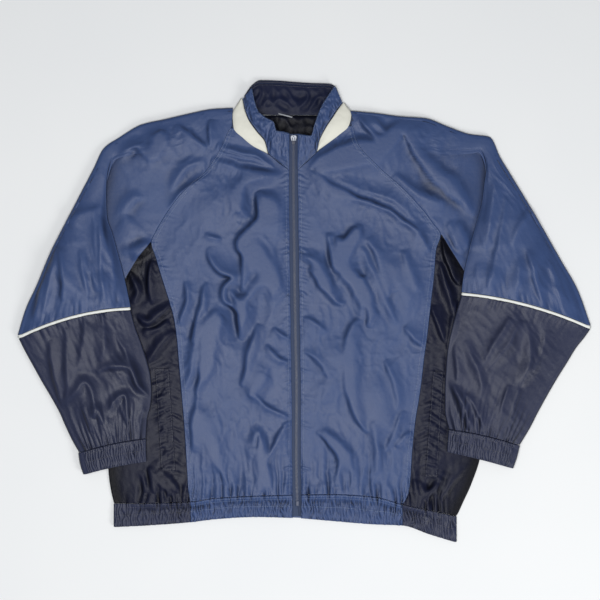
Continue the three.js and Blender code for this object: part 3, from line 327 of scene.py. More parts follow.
# Creases, as paths in the plane
BODY_CREASES = (
    Crease(7, -6.0, 0.5, ((-84, 209), (-80, 185), (-79, 164), (-96, 146), (-112, 127),
           (-114, 111), (-106, 97), (-106, 65), (-110, 32))),
    Crease(8, -4.0, -0.3, ((-101, 114), (-79, 88), (-60, 59), (-48, 35))),
    Crease(9, 4.0, 0.2, ((-64, 72), (-74, 56), (-91, 37), (-107, 14), (-106, -9), (-110, -53))),
    Crease(7, -5.0, 0.3, ((-169, 113), (-164, 90), (-149, 70), (-127, 59), (-141, 39),
           (-141, 19), (-121, 3), (-114, -14), (-114, -51))),
    Crease(6, 3.5, 0.0, ((-131, 37), (-116, 14), (-107, -5))),
    Crease(8, -5.5, 0.5, ((-145, -7), (-169, -33), (-177, -53), (-177, -90), (-189, -150))),
    Crease(7, 3.5, 0.0, ((-152, 3), (-169, -19), (-186, -39), (-194, -70), (-200, -104), (-209, -139))),
    Crease(6, -4.0, 0.3, ((-172, 51), (-177, 31), (-183, 3), (-191, -25), (-196, -55))),
    Crease(6, -3.5, 0.3, ((-210, 51), (-206, 31), (-211, 3), (-219, -26))),
    Crease(5, -1.8, 0.0, ((-175, 136), (-163, 130), (-145, 127))),
    Crease(5, -2.5, 0.0, ((-54, -28), (-37, -42), (-24, -48))),
    Crease(6, -3.2, 0.0, ((-68, -60), (-48, -81), (-27, -90))),
    Crease(8, -4.0, 0.4, ((-82, -23), (-91, -54), (-99, -79), (-103, -111), (-112, -132))),
    Crease(7, -3.0, 0.0, ((-73, -106), (-88, -132), (-98, -150))),
    Crease(10, 3.2, 0.0, ((-37, 238), (-65, 236), (-99, 231), (-116, 210), (-116, 185), (-99, 162))),
    Crease(8, 2.6, 0.0, ((-82, 210), (-65, 191), (-48, 174))),
    Crease(8, -3.0, 0.3, ((-186, -143), (-193, -183), (-196, -248))),
    Crease(7, -3.0, 0.2, ((-173, -206), (-159, -250), (-131, -312))),
    Crease(6, -2.6, 0.0, ((-96, -139), (-64, -169), (-26, -187))),
    Crease(7, 3.2, 0.0, ((-92, -236), (-82, -211), (-71, -259), (-64, -312))),
    Crease(6, -2.8, 0.0, ((-29, -192), (-57, -243), (-64, -266))),
    Crease(14, -4.0, 0.2, ((-163, 266), (-124, 252), (-75, 243), (-24, 241))),
    Crease(7, -3.6, 0.2, ((-226, 329), (-202, 308), (-170, 283))),
    Crease(6, -3.0, 0.0, ((-165, 336), (-166, 285))),
    Crease(6, -2.6, 0.0, ((-145, 304), (-150, 280), (-92, 264), (-64, 255))),
    Crease(6, 3.2, 0.0, ((-156, 290), (-121, 280), (-85, 271), (-52, 252))),
    Crease(6, -3.2, 0.0, ((-251, 319), (-263, 292), (-275, 266))),
    Crease(7, 3.2, 0.3, ((-344, 238), (-335, 266), (-314, 282), (-295, 288), (-286, 280), (-277, 269))),
    Crease(7, -3.6, 0.3, ((-346, 231), (-339, 257), (-321, 273), (-302, 278))),
    Crease(7, 3.4, 0.2, ((-341, 150), (-325, 172), (-304, 194), (-284, 202))),
    Crease(8, -4.0, 0.2, ((-339, 128), (-325, 146), (-312, 171))),
    Crease(7, 3.0, 0.0, ((-325, 104), (-297, 107), (-274, 121))),
    Crease(7, 2.6, 0.0, ((-302, 86), (-288, 104), (-268, 125))),
    Crease(8, -2.5, 0.0, ((-242, 181), (-207, 216), (-170, 238))),
    Crease(7, 2.4, 0.0, ((-237, 209), (-212, 248), (-173, 266))),
    Crease(6, 4.0, 0.2, ((-295, -7), (-282, -18), (-270, -19), (-248, 0), (-235, 16))),
    Crease(6, 3.2, 0.0, ((-307, 69), (-298, 45), (-293, 31), (-302, 12))),
    Crease(7, 3.2, 0.0, ((-275, -90), (-251, -54), (-228, -33))),
    Crease(6, -3.4, 0.0, ((-268, 90), (-274, 46), (-267, 12))),
    Crease(6, -3.2, 0.0, ((-284, -33), (-261, -33), (-237, -16))),
    Crease(5, 2.2, 0.0, ((-288, -280), (-274, -322))),
    Crease(5, -3.0, 0.0, ((-274, -273), (-261, -322))),
    Crease(5, -3.0, 0.0, ((-268, -283), (-233, -327))),
    Crease(5, -2.2, 0.0, ((-337, -290), (-323, -336))),
    Crease(5, 2.2, 0.0, ((-321, -294), (-318, -333))),
    Crease(5, 2.4, 0.0, ((-254, -276), (-223, -319))),
    Crease(9, -5.5, 0.4, ((-3, 252), (27, 234), (57, 213), (110, 191),
           (149, 177), (172, 160), (200, 136), (221, 104))),
    Crease(10, 3.0, 0.0, ((54, 234), (98, 213), (154, 195), (189, 164), (210, 132))),
    Crease(7, -6.0, 0.4, ((98, 62), (104, 40), (110, 19), (115, -3), (110, -30))),
    Crease(8, -6.0, 0.5, ((105, -16), (90, -19), (79, -39), (74, -76),
           (76, -110), (80, -148), (94, -190), (112, -215))),
    Crease(9, 4.0, 0.0, ((62, 132), (65, 81), (87, 50), (99, 25), (101, -16))),
    Crease(6, -3.4, 0.0, ((41, 137), (48, 101), (54, 65))),
    Crease(6, -3.0, 0.0, ((55, 132), (65, 95))),
    Crease(6, 3.8, 0.2, ((71, 86), (80, 114), (99, 151))),
    Crease(7, -4.0, 0.2, ((64, 107), (75, 125), (91, 148))),
    Crease(8, -4.5, 0.3, ((110, 128), (127, 98), (138, 64), (150, 25))),
    Crease(8, 3.6, 0.0, ((99, 113), (115, 81), (132, 42), (149, 3), (161, -25))),
    Crease(8, -3.0, 0.2, ((170, 107), (186, 64), (198, 33))),
    Crease(8, -4.0, 0.3, ((6, 76), (31, 45), (54, 19), (71, 11))),
    Crease(8, 3.4, 0.0, ((-11, 95), (15, 90), (31, 64), (45, 33))),
    Crease(8, -4.0, 0.3, ((158, 241), (194, 210), (225, 194), (249, 188))),
    Crease(8, -4.0, 0.2, ((170, 329), (185, 301), (201, 272), (219, 240), (249, 208), (274, 187))),
    Crease(7, 3.2, 0.0, ((210, 273), (238, 241), (267, 209), (291, 171))),
    Crease(7, -3.6, 0.3, ((245, 238), (273, 205), (300, 164))),
    Crease(7, -3.6, 0.2, ((254, 158), (261, 132), (277, 100))),
    Crease(7, 3.0, 0.0, ((270, 157), (279, 128), (291, 107))),
    Crease(8, 6.5, 0.3, ((8, 252), (48, 271), (89, 285), (127, 283),
           (149, 299), (169, 321), (183, 335), (207, 341))),
    Crease(7, -5.5, 0.3, ((17, 248), (53, 260), (93, 272), (128, 272), (152, 287), (172, 308))),
    Crease(7, -4.0, 0.2, ((92, 347), (105, 329), (119, 313), (128, 299), (129, 287))),
    Crease(6, 3.0, 0.0, ((108, 350), (129, 329), (140, 312))),
    Crease(6, -2.5, 0.0, ((175, 312), (189, 287), (203, 262))),
    Crease(7, -3.0, 0.0, ((175, -28), (193, -48), (210, -63))),
    Crease(7, -3.6, 0.2, ((20, -209), (43, -231), (62, -260), (54, -308))),
    Crease(7, 3.0, 0.0, ((31, -206), (59, -234), (84, -280), (84, -312))),
    Crease(6, -2.8, 0.0, ((161, -238), (175, -220), (189, -213))),
    Crease(6, -2.6, 0.0, ((143, -248), (161, -206), (172, -174))),
    Crease(6, -2.6, 0.0, ((-3, -69), (24, -86), (45, -118))),
    Crease(6, -2.4, 0.0, ((-3, -12), (17, -19), (38, -37))),
    Crease(7, 2.8, 0.0, ((119, -192), (129, -245), (126, -304))),
    Crease(7, -3.0, 0.0, ((140, -86), (158, -128), (165, -174))),
    Crease(6, -3.8, 0.2, ((240, 125), (253, 81), (272, 44))),
    Crease(6, 3.4, 0.0, ((235, 86), (253, 31), (260, -5))),
    Crease(6, -3.2, 0.0, ((223, 9), (236, -31), (247, -58))),
    Crease(6, -3.6, 0.0, ((265, 19), (260, -23), (249, -72))),
    Crease(6, 3.8, 0.2, ((238, -331), (254, -308), (267, -289), (300, -260))),
    Crease(5, -3.0, 0.0, ((194, -294), (205, -326), (231, -304))),
    Crease(5, 2.6, 0.0, ((200, -297), (217, -322), (246, -280))),
)

SLEEVE_CREASES = (
    Crease(8, -5.0, 0.3, ((-429, 111), (-424, 67), (-422, 16))),
    Crease(8, 4.0, 0.0, ((-434, 111), (-446, 53), (-458, -5))),
    Crease(7, -4.5, 0.0, ((-451, 86), (-462, 40), (-474, -16))),
    Crease(10, -4.5, 0.3, ((-360, 167), (-356, 107), (-356, 67), (-353, 19))),
    Crease(9, 3.0, 0.0, ((-370, 181), (-367, 121), (-362, 72))),
    Crease(7, -3.5, 0.0, ((-395, 107), (-386, 59), (-376, 25))),
    Crease(6, -2.8, 0.0, ((-374, 86), (-363, 33))),
    Crease(12, -3.0, 0.6, ((-416, 157), (-389, 172), (-353, 181))),
    Crease(8, 2.4, 0.0, ((-346, 213), (-353, 143), (-339, 86))),
    Crease(7, -2.4, 0.0, ((-342, 143), (-335, 76), (-328, 19))),
    Crease(9, -4.0, 0.3, ((353, 202), (348, 167), (339, 115), (328, 67), (319, 33))),
    Crease(9, 3.0, 0.0, ((334, 231), (326, 160), (316, 107))),
    Crease(8, -4.0, 0.2, ((362, 114), (372, 143), (393, 172), (409, 188))),
    Crease(7, -4.5, 0.4, ((390, 107), (404, 54), (418, 9))),
    Crease(7, -2.4, 0.0, ((429, 86), (439, 48), (450, 16))),
    Crease(7, 2.6, 0.0, ((378, 93), (372, 55), (369, 26))),
    Crease(7, -2.4, 0.0, ((302, 86), (298, 37))),
    Crease(7, 4.2, 0.3, ((-363, -107), (-342, -97), (-313, -97),
           (-300, -115), (-290, -136), (-270, -148))),
    Crease(7, -4.0, 0.3, ((-330, -40), (-311, -76), (-295, -125), (-274, -148))),
    Crease(7, 4.0, 0.0, ((-420, -167), (-401, -141), (-383, -125), (-370, -146), (-365, -188))),
    Crease(6, 3.8, 0.0, ((-342, -185), (-339, -171), (-331, -156),
           (-316, -146), (-311, -161), (-307, -194))),
    Crease(6, -3.2, 0.0, ((-391, -166), (-383, -178), (-374, -213))),
    Crease(6, 2.8, 0.0, ((-370, -188), (-360, -171), (-353, -199))),
    Crease(7, -4.0, 0.2, ((-448, -51), (-440, -105), (-423, -174))),
    Crease(8, -3.6, 0.2, ((-420, -30), (-415, -90), (-418, -160))),
    Crease(9, 3.4, 0.0, ((-355, -5), (-349, -53), (-356, -90))),
    Crease(8, -2.8, 0.0, ((-385, -12), (-388, -62), (-399, -104))),
    Crease(7, -3.0, 0.0, ((-325, -157), (-314, -188), (-304, -213))),
    Crease(7, 2.6, 0.0, ((-286, -171), (-272, -188), (-279, -220))),
    Crease(8, 4.6, 0.3, ((379, -16), (354, -59), (318, -106))),
    Crease(8, 3.8, 0.0, ((386, -16), (395, -60), (393, -93), (379, -132))),
    Crease(8, -4.0, 0.2, ((358, -12), (332, -59), (312, -97))),
    Crease(7, 3.2, 0.0, ((281, -51), (306, -115), (312, -153))),
    Crease(6, -3.6, 0.0, ((260, -25), (264, -79), (268, -128))),
    Crease(6, 4.2, 0.3, ((253, -121), (270, -155), (286, -209))),
    Crease(6, -4.0, 0.2, ((260, -128), (279, -167), (291, -213))),
    Crease(6, -4.0, 0.2, ((282, -144), (303, -177), (313, -211))),
    Crease(6, -3.2, 0.0, ((355, -128), (344, -177), (337, -216))),
    Crease(6, -3.0, 0.0, ((374, -136), (362, -181), (355, -227))),
    Crease(8, -3.0, 0.0, ((423, -33), (414, -72), (400, -107))),
)

def smooth(low: float, high: float, value: Array) -> Array:
    """0 below low and 1 above high, with a soft change between them (either may be the larger)."""
    t = np.clip((np.asarray(value, dtype=float) - low) / (high - low), 0, 1)
    return t * t * (3 - 2 * t)


def mix(a: Array, b: Array, t: Array) -> Array:
    """The value between a and b at share t."""
    return a + (b - a) * t


def curve(knots: Array, values: Array, at: Array) -> Array:
    """Smooth curve through a table's points that makes no bumps of its own.

    Between two knots it is the cubic with the knots' slopes, and a knot's slope is the harmonic mean of the
    straight slopes on its two sides, or 0 where they point opposite ways.

    Args:
        knots: Rising or falling places.
        values: The value at each knot.
        at: Places to look up. Past the ends the end value holds.

    Returns:
        The values, in the shape of at.
    """
    order = np.argsort(knots)
    k, v = np.asarray(knots, dtype=float)[order], np.asarray(values, dtype=float)[order]
    h = np.diff(k)
    d = np.diff(v) / h
    slope = np.zeros(len(v))
    same = d[:-1] * d[1:] > 0
    w1, w2 = 2 * h[1:] + h[:-1], h[1:] + 2 * h[:-1]
    safe = np.where(same, d[:-1] * d[1:], 1)
    slope[1:-1] = np.where(same, (w1 + w2) * safe / np.where(same, w1 * d[1:] + w2 * d[:-1], 1), 0)
    slope[0], slope[-1] = d[0], d[-1]
    place = np.clip(np.asarray(at, dtype=float), k[0], k[-1])
    i = np.clip(np.searchsorted(k, place, side="right") - 1, 0, len(h) - 1)
    t = (place - k[i]) / h[i]
    keep = (1 + 2 * t) * (1 - t) ** 2 * v[i] + t**2 * (3 - 2 * t) * v[i + 1]
    return keep + h[i] * (t * (1 - t) ** 2 * slope[i] - t**2 * (1 - t) * slope[i + 1])


def sewn_steps(length: float, step: float) -> Array:
    """Shares 0..1 along an edge-to-edge line, close together near both ends where the cloth turns in.

    Args:
        length: The line's length in millimetres.
        step: Spacing away from the ends.

    Returns:
        Rising shares that start at 0 and end at 1.
    """
    ends = np.array([0, 0.3, 0.7, 1.3, 2.2, 3.4])
    count = max(2, round((length - 2 * ends[-1]) / step))
    middle = np.linspace(ends[-1], length - ends[-1], count + 1)
    return np.concatenate([ends[:-1], middle, length - ends[-2::-1]]) / length


class Noise:
    """Gradient noise in the plane, the same on each run."""

    def __init__(self, seed: int) -> None:
        """Makes the lattice of slopes from a seed."""
        angle = np.random.default_rng(seed).uniform(0, 2 * math.pi, (128, 128))
        self.slope = np.stack([np.cos(angle), np.sin(angle)], axis=-1)

    def __call__(self, x: Array, y: Array) -> Array:
        """Noise at points in lattice units: each corner's slope times the way to it, blended softly.

        Args:
            x: First coordinate.
            y: Second coordinate.

        Returns:
            Values from about -0.7 to 0.7.
        """
        xi, yi = np.floor(x).astype(int), np.floor(y).astype(int)
        fx, fy = x - xi, y - yi
        u, v = (f**3 * (f * (6 * f - 15) + 10) for f in (fx, fy))

        def corner(dx: int, dy: int) -> Array:
            """The part that one corner of the lattice cell gives."""
            slope = self.slope[(xi + dx) % 128, (yi + dy) % 128]
            return slope[..., 0] * (fx - dx) + slope[..., 1] * (fy - dy)

        low = mix(corner(0, 0), corner(1, 0), u)
        return mix(low, mix(corner(0, 1), corner(1, 1), u), v)


WARP_X, WARP_Y, BROAD, FINE, GATHERS, PLEATS = (Noise(seed) for seed in range(11, 17))


def crumple(x: Array, y: Array, long: float = 1.7) -> Array:
    """Small irregular creases of thin cloth, about 1.5 mm high either way.

    It is the sum of three octaves of 1 - |noise|, which has sharp crests, on coordinates that are bent by
    slow noise and stretched along Y. A slower noise still leaves some places calm and others busy.

    Args:
        x: Points across.
        y: Points along.
        long: How much longer the creases are than wide.

    Returns:
        Heights in millimetres.
    """
    bx = x + 14 * WARP_X(x / 70, y / 70)
    by = y + 14 * WARP_Y(x / 70, y / 70)
    busy = 0.45 + 1.1 * np.clip(0.5 + 1.4 * BROAD(x / 90 + 4, y / 110), 0, 1)
    total = 1.8 * BROAD(bx / 60, by / (60 * long))
    for size, height in ((30, 0.8), (15, 0.5), (7.5, 0.2)):
        crest = 1 - 2.2 * np.abs(FINE(bx / size + size, by / (size * long)))
        total = total + busy * height * np.clip(crest, -0.6, 1) ** 2 * np.sign(np.clip(crest, -0.6, 1))
    return total


def ridged(noise: Array) -> Array:
    """Noise folded into sharp crests: 1 less 2.6 times its size."""
    return 1 - 2.6 * np.abs(noise)


def puckers(distance: Array, along: Array, height: float, pitch: float, reach: float) -> Array:
    """Short puckers that a seam draws into the cloth beside it.

    Height times exp(-(distance / reach)^2) times |sin| along the seam, whose place and length wander.

    Args:
        distance: Distance from the seam.
        along: Place along the seam.
        height: Largest height.
        pitch: Distance between puckers.
        reach: How far they run from the seam.

    Returns:
        Heights in millimetres.
    """
    wander = 7.5 * FINE(along / 21, distance / 30)
    strength = 0.25 + 2.0 * np.abs(BROAD(along / 19, distance / 40 + 3))
    fade = np.exp(-((distance / (reach * (0.6 + strength))) ** 2))
    turn = math.pi * (along + wander + 0.35 * distance) / pitch
    return height * strength * fade * (1.6 * np.abs(np.sin(turn)) - 0.8)


def zip_x(y: Array) -> Array:
    """Where the middle of the zip is at a height."""
    return curve(ZIP["y"], ZIP["x"], y)


def folds_at(folds: dict[str, Array], x: Array, y: Array) -> Array:
    """Sum of straight folds: height * exp(-(across / width)^2), which fades out at both ends.

    Args:
        folds: Table of folds.
        x: Points across.
        y: Points along.

    Returns:
        Heights in millimetres.
    """
    total = np.zeros_like(x)
    for x1, y1, x2, y2, width, height in zip(*folds.values()):
        dx, dy = x2 - x1, y2 - y1
        length = math.hypot(dx, dy)
        along = ((x - x1) * dx + (y - y1) * dy) / length
        across = ((x - x1) * dy - (y - y1) * dx) / length
        taper = smooth(-width, width, along) * smooth(-width, width, length - along)
        total += height * taper * np.exp(-((across / width) ** 2))
    return total


def creases_at(creases: tuple[Crease, ...], x: Array, y: Array) -> Array:
    """Sum of the creases' relief, on coordinates bent a little by noise so that no path is too smooth.

    Args:
        creases: The creases to lay.
        x: Places across, in millimetres.
        y: Places from hem to collar.

    Returns:
        Height that they add at each place.
    """
    bx = x + 3.0 * WARP_X(x / 31, y / 31)
    by = y + 3.0 * WARP_Y(x / 31, y / 31)
    return sum((crease.relief(bx, by) for crease in creases), np.zeros_like(x))


# Strength of the body's folds and creases, the height in millimetres above which they are rounded off, and
# by how much they may pass it.
FOLD_STRENGTH = 1.7
CREASE_STRENGTH = 1.85
RELIEF_TOP = 4.0
RELIEF_SOFT = 2.2


class BodyHeight:
    """Height of the middle of the body's upper wall: fronts, side panels and shoulders."""

    def plain(self, x: Array, y: Array) -> tuple[Array, Array]:
        """Height without creases, and the share of the creases that shows.

        Args:
            x: Points across.
            y: Points along.

        Returns:
            Puff above the low height of the fold, and the creases' share from 0 to 1.
        """
        mid = zip_x(y)
        right = curve(SIDE_FOLD["y"], SIDE_FOLD["right"], y)
        left = curve(SIDE_FOLD["y"], SIDE_FOLD["left"], y)
        inward = np.maximum(0, np.where(x < mid, x - right, left - x))
        down = np.maximum(0, curve(SHOULDER_LINE["x"], SHOULDER_LINE["y"], x) - y)
        shoulder = mix(0.55, 1, 1 - np.exp(-down / SHOULDER_REACH))
        puff = BODY_PUFF * (1 - np.exp(-inward / PUFF_REACH)) * shoulder
        calm = smooth(3, 20, np.abs(x - mid)) * smooth(6, 60, inward) * smooth(-4, 26, down)
        return puff, calm

    def relief(self, x: Array, y: Array) -> Array:
        """Folds, creases and crumples together, rounded off above RELIEF_TOP, before edges calm them.

        Args:
            x: Places across, in millimetres.
            y: Places from hem to collar.

        Returns:
            Height above or below the calm wall.
        """
        total = (FOLD_STRENGTH * folds_at(FOLDS, x, y) + CREASE_STRENGTH * creases_at(BODY_CREASES, x, y)
                 + crumple(x, y) + self.hem_gathers(x, y))
        over = np.maximum(total - RELIEF_TOP, 0)
        return np.minimum(total, RELIEF_TOP) + RELIEF_SOFT * np.tanh(over / RELIEF_SOFT)

    def hem_gathers(self, x: Array, y: Array) -> Array:
        """Upright gathers over the hem band: noise that is narrow across and long, and fades upwards.

        Args:
            x: Places across, in millimetres.
            y: Places from hem to collar.

        Returns:
            Height that the gathers add.
        """
        above = np.maximum(y - curve(HEM["x"], HEM["seam"], x), 0)
        bx = x + 6 * WARP_X(x / 40, y / 40)
        broad = ridged(GATHERS(bx / 11, y / 120)) * np.exp(-above / 34)
        fine = ridged(GATHERS(bx / 5.5 + 9, y / 60)) * np.exp(-above / 11)
        return 6.5 * broad + 3.2 * fine

    def __call__(self, x: Array, y: Array) -> Array:
        """Height of the wall's middle: the low height, the puff, and the relief that fits in the puff.

        Args:
            x: Places across, in millimetres.
            y: Places from hem to collar.

        Returns:
            Height above the table.
        """
        puff, calm = self.plain(x, y)
        relief = calm * self.relief(x, y)
        floor = np.minimum(-0.82 * puff, -1e-6)
        deep = np.maximum(relief / floor - 0.5, 0)
        soft = np.where(relief < 0.5 * floor, floor * (1 - 0.5 * np.exp(-2 * deep)), relief)
        return BODY_LOW + puff + np.where(puff > 0.05, soft, 0)

    def front(self, x: Array, y: Array) -> Array:
        """The same height, but it meets the collar's low line at the neck."""
        near = smooth(60, 0, np.hypot(x - zip_x(y), y - NECK_FRONT))
        return mix(self(x, y), COLLAR["right"]["lowZ"][0], near)

    def hem(self, x: Array, v: Array) -> Array:
        """Height of the hem band, from its seam (0) to its bottom edge (1)."""
        puff, _ = self.plain(x, curve(HEM["x"], HEM["seam"], x))
        return mix(BODY_LOW + puff, BODY_LOW + 3, 0.8 * v) + 0.4

    def tape(self, x: Array, y: Array) -> Array:
        """Height of the zip's tapes: under the fronts, up the collar, and under the hem band.

        Args:
            x: Places across, in millimetres.
            y: Places from hem to collar.

        Returns:
            Height above the table.
        """
        low_z, top_z = COLLAR["right"]["lowZ"][0], COLLAR["right"]["topZ"][0]
        up = (y - NECK_FRONT) / (ZIP_TOP - NECK_FRONT)
        seam = curve(HEM["x"], HEM["seam"], x)
        v = (seam - y) / (seam - curve(HEM["x"], HEM["bottom"], x))
        puff, _ = self.plain(x, y)
        near = smooth(60, 0, np.hypot(x - zip_x(y), y - NECK_FRONT))
        flat = mix(BODY_LOW + puff, low_z, near)
        below = mix(flat - DROP_FRONT, self.hem(x, np.clip(v, 0, 1)) - DROP_HEM, smooth(-0.25, 0, v))
        above = mix(low_z, top_z, up) - mix(DROP_FRONT, DROP_COLLAR, np.clip(up * 6, 0, 1))
        return np.where(up > 0, above, below)


HEIGHT = BodyHeight()


def hem_bent(x: Array, y: Array) -> Array:
    """Level rows turn into the hem's curve towards the bottom."""
    bend = smooth(HEM_BEND_FROM, HEM_BEND_TO, y)
    return y + bend * (curve(HEM["x"], HEM["seam"], x) - BODY_BOTTOM)


def unit(v: Array) -> Array:
    """Vectors at length 1."""
    return v / np.maximum(np.linalg.norm(v, axis=-1, keepdims=True), 1e-9)


def grid_normals(grid: Array) -> Array:
    """Unit normals of a grid of points: the cross product of its two directions, turned to face up."""
    normal = unit(np.cross(np.gradient(grid, axis=0), np.gradient(grid, axis=1)))
    return normal


class Side(Enum):
    """A side of the jacket, as its wearer has it, with the direction from the zip outwards."""

    RIGHT = "right"
    LEFT = "left"

    @property
    def out(self) -> int:
        """-1 towards negative X and 1 towards positive X."""
        return -1 if self is Side.RIGHT else 1


def put_mesh(name: str, points: Array, faces: Array, finish: bpy.types.Material, uv: Array | None = None,
             smooth_faces: bool = True) -> bpy.types.Object:
    """Makes an object from arrays, in the row frame.

    Args:
        name: Name of the object.
        points: (n, 3) points of the pattern in millimetres.
        faces: (f, 3) or (f, 4) indices.
        finish: Material of the whole piece.
        uv: (n, 2) place of each point on the flat cloth, in metres.
        smooth_faces: Whether the faces are shaded as one surface.

    Returns:
        The new object, at the origin.
    """
    corners = faces.shape[1]
    mesh = bpy.data.meshes.new(name)
    mesh.vertices.add(len(points))
    mesh.vertices.foreach_set("co", ((points + PATTERN_TO_ROW) * METRES).astype(np.float32).ravel())
    mesh.loops.add(faces.size)
    mesh.loops.foreach_set("vertex_index", faces.astype(np.int32).ravel())
    mesh.polygons.add(len(faces))
    mesh.polygons.foreach_set("loop_start", np.arange(len(faces), dtype=np.int32) * corners)
    mesh.update(calc_edges=True)
    mesh.polygons.foreach_set("use_smooth", np.full(len(faces), smooth_faces))
    if uv is not None:
        layer = mesh.uv_layers.new(name="Cloth")
        layer.data.foreach_set("uv", uv[faces.ravel()].astype(np.float32).ravel())
    mesh.materials.append(finish)
    obj = bpy.data.objects.new(name, mesh)
    bpy.context.scene.collection.objects.link(obj)
    return obj


def turned_out(points: Array, faces: Array) -> Array:
    """Faces in the order that makes the shell's volume positive, so that they point outwards.

    Args:
        points: (n, 3) corners.
        faces: (m, 4) corner numbers of each face.

    Returns:
        The faces, all turned or all as they were.
    """
    a, b, c = (points[faces[:, k]] for k in (0, 1, 2))
    volume = (a * np.cross(b, c)).sum()
    if faces.shape[1] == 4:
        volume += (a * np.cross(c, points[faces[:, 3]])).sum()
    return faces[:, ::-1] if volume < 0 else faces


def rim_share(count: int, places: Array, fine: bool = True) -> Array:
    """Share of the wall at each row or column: thin at the sewn edges, full from about 1.5 mm inwards.

    Args:
        count: Number of rows or columns.
        places: Distance of each from the first, in millimetres.
        fine: Whether the edges are thinned at all.

    Returns:
        Shares from 0.3 to 1.
    """
    if not fine:
        return np.ones(count)
    inward = np.minimum(places, places[-1] - places)
    return 0.3 + 0.7 * np.sqrt(1 - (1 - np.clip(inward / 1.6, 0, 1)) ** 2)


@dataclass
class Cloth:
    """A piece of cloth: a grid of points along the middle of its wall, closed into a thin shell."""

    name: str
    grid: Array
    wall: float
    finish: bpy.types.Material
    slot: str
    replaces: tuple[str, ...]
    cut: tuple[float, float] | None = None
    area: float | None = None
    rests_on: tuple[str, ...] = ()
    floor: float | None = None
    sharp_ends: bool = False
    # Painted shade, taken off the painted-light share where a sleeve or the neck would shade the piece.
    shade: Array | float = 0.0
    normals: Array = field(init=False)
    obj: bpy.types.Object = field(init=False)

    def __post_init__(self) -> None:
        self.normals = grid_normals(self.grid)
        self.obj = self.build()
        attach(self.obj, GARMENT)
        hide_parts(*self.replaces)
        log.info("%s: %d faces", self.name, len(self.obj.data.polygons))

    def arc(self, axis: int) -> Array:
        """Mean length along the grid up to each row (axis 0) or column (axis 1)."""
        step = np.linalg.norm(np.diff(self.grid, axis=axis), axis=-1).mean(axis=1 - axis)
        return np.concatenate([[0], np.cumsum(step)])

    def build(self) -> bpy.types.Object:
        """Moves the grid out by half the wall both ways along its normals and joins the two along the rim.

        The wall thins towards the edges, as cloth does where it is turned in and sewn.

        Returns:
            The shell's object.
        """
        m, n = self.grid.shape[:2]
        down, across = self.arc(0), self.arc(1)
        share = rim_share(m, down, not self.sharp_ends)[:, None] * rim_share(n, across)[None, :]
        offset = self.normals * (self.wall / 2 * np.maximum(share, 0.3))[..., None]
        upper, lower = self.grid + offset, self.grid - offset
        if self.floor is not None:
            upper[..., 2] = np.maximum(upper[..., 2], self.floor)
            lower[..., 2] = np.maximum(lower[..., 2], self.floor)
        points = np.concatenate([upper.reshape(-1, 3), lower.reshape(-1, 3)])
        i, j = np.meshgrid(np.arange(m - 1), np.arange(n - 1), indexing="ij")
        a = (i * n + j).ravel()
        top = np.stack([a, a + n, a + n + 1, a + 1], axis=1)
        base = m * n
        bottom = top[:, ::-1] + base
        left = np.arange(m - 1) * n
        first = np.stack([left, left + base, left + n + base, left + n], axis=1)
        right = left + n - 1
        last = np.stack([right, right + n, right + n + base, right + base], axis=1)
        start = np.arange(n - 1)
        head = np.stack([start, start + 1, start + 1 + base, start + base], axis=1)
        end = start + (m - 1) * n
        foot = np.stack([end, end + base, end + 1 + base, end + 1], axis=1)
        faces = np.concatenate([top, bottom, first, last, head, foot])
        u, v = np.meshgrid(across, down)
        uv = np.stack([u.ravel(), v.ravel()], axis=1) * METRES
        obj = put_mesh(self.name, points, turned_out(points, faces), self.finish, np.concatenate([uv, uv]))
        # Per-point share of painted light: the material darkens hollows, steep flanks and shaded places and
        # keeps crests paler.
        crest = obj.data.attributes.new("PaintedLight", "FLOAT", "POINT")
        crest.data.foreach_set("value", np.tile(self.painted_light(down, across).ravel(), 2).astype(np.float32))
        return obj

    def painted_light(self, down: Array, across: Array) -> Array:
        """How far each point stands on a crest rather than in a hollow or on a steep flank.

        It is 0.6 plus a tenth of the height in millimetres over the mean of about 14 mm around, less 1.1
        times how far the normal leans from upright, less the piece's painted shade, kept within 0 and 1. The
        material paints shade with it: the colour turns darker where it is low, in hollows and on flanks that
        lean away, and stays paler on crests as painted light.

        Args:
            down: Distance of each row from the first, in millimetres.
            across: Distance of each column from the first.

        Returns:
            Shares in the grid's shape.
        """
        around = self.grid[..., 2]
        for axis, places in ((0, down), (1, across)):
            around = np.moveaxis(around, axis, 0)
            half = max(1, round(7 * (len(places) - 1) / max(places[-1], 1)))
            padded = np.pad(around, ((half + 1, half), (0, 0)), mode="edge").cumsum(axis=0)
            window = (padded[2 * half + 1 :] - padded[: -2 * half - 1]) / (2 * half + 1)
            around = np.moveaxis(window, 0, axis)
        lean = 1 - np.abs(self.normals[..., 2])
        return np.clip(0.6 + 0.1 * (self.grid[..., 2] - around) - 1.1 * lean - self.shade, 0, 1)


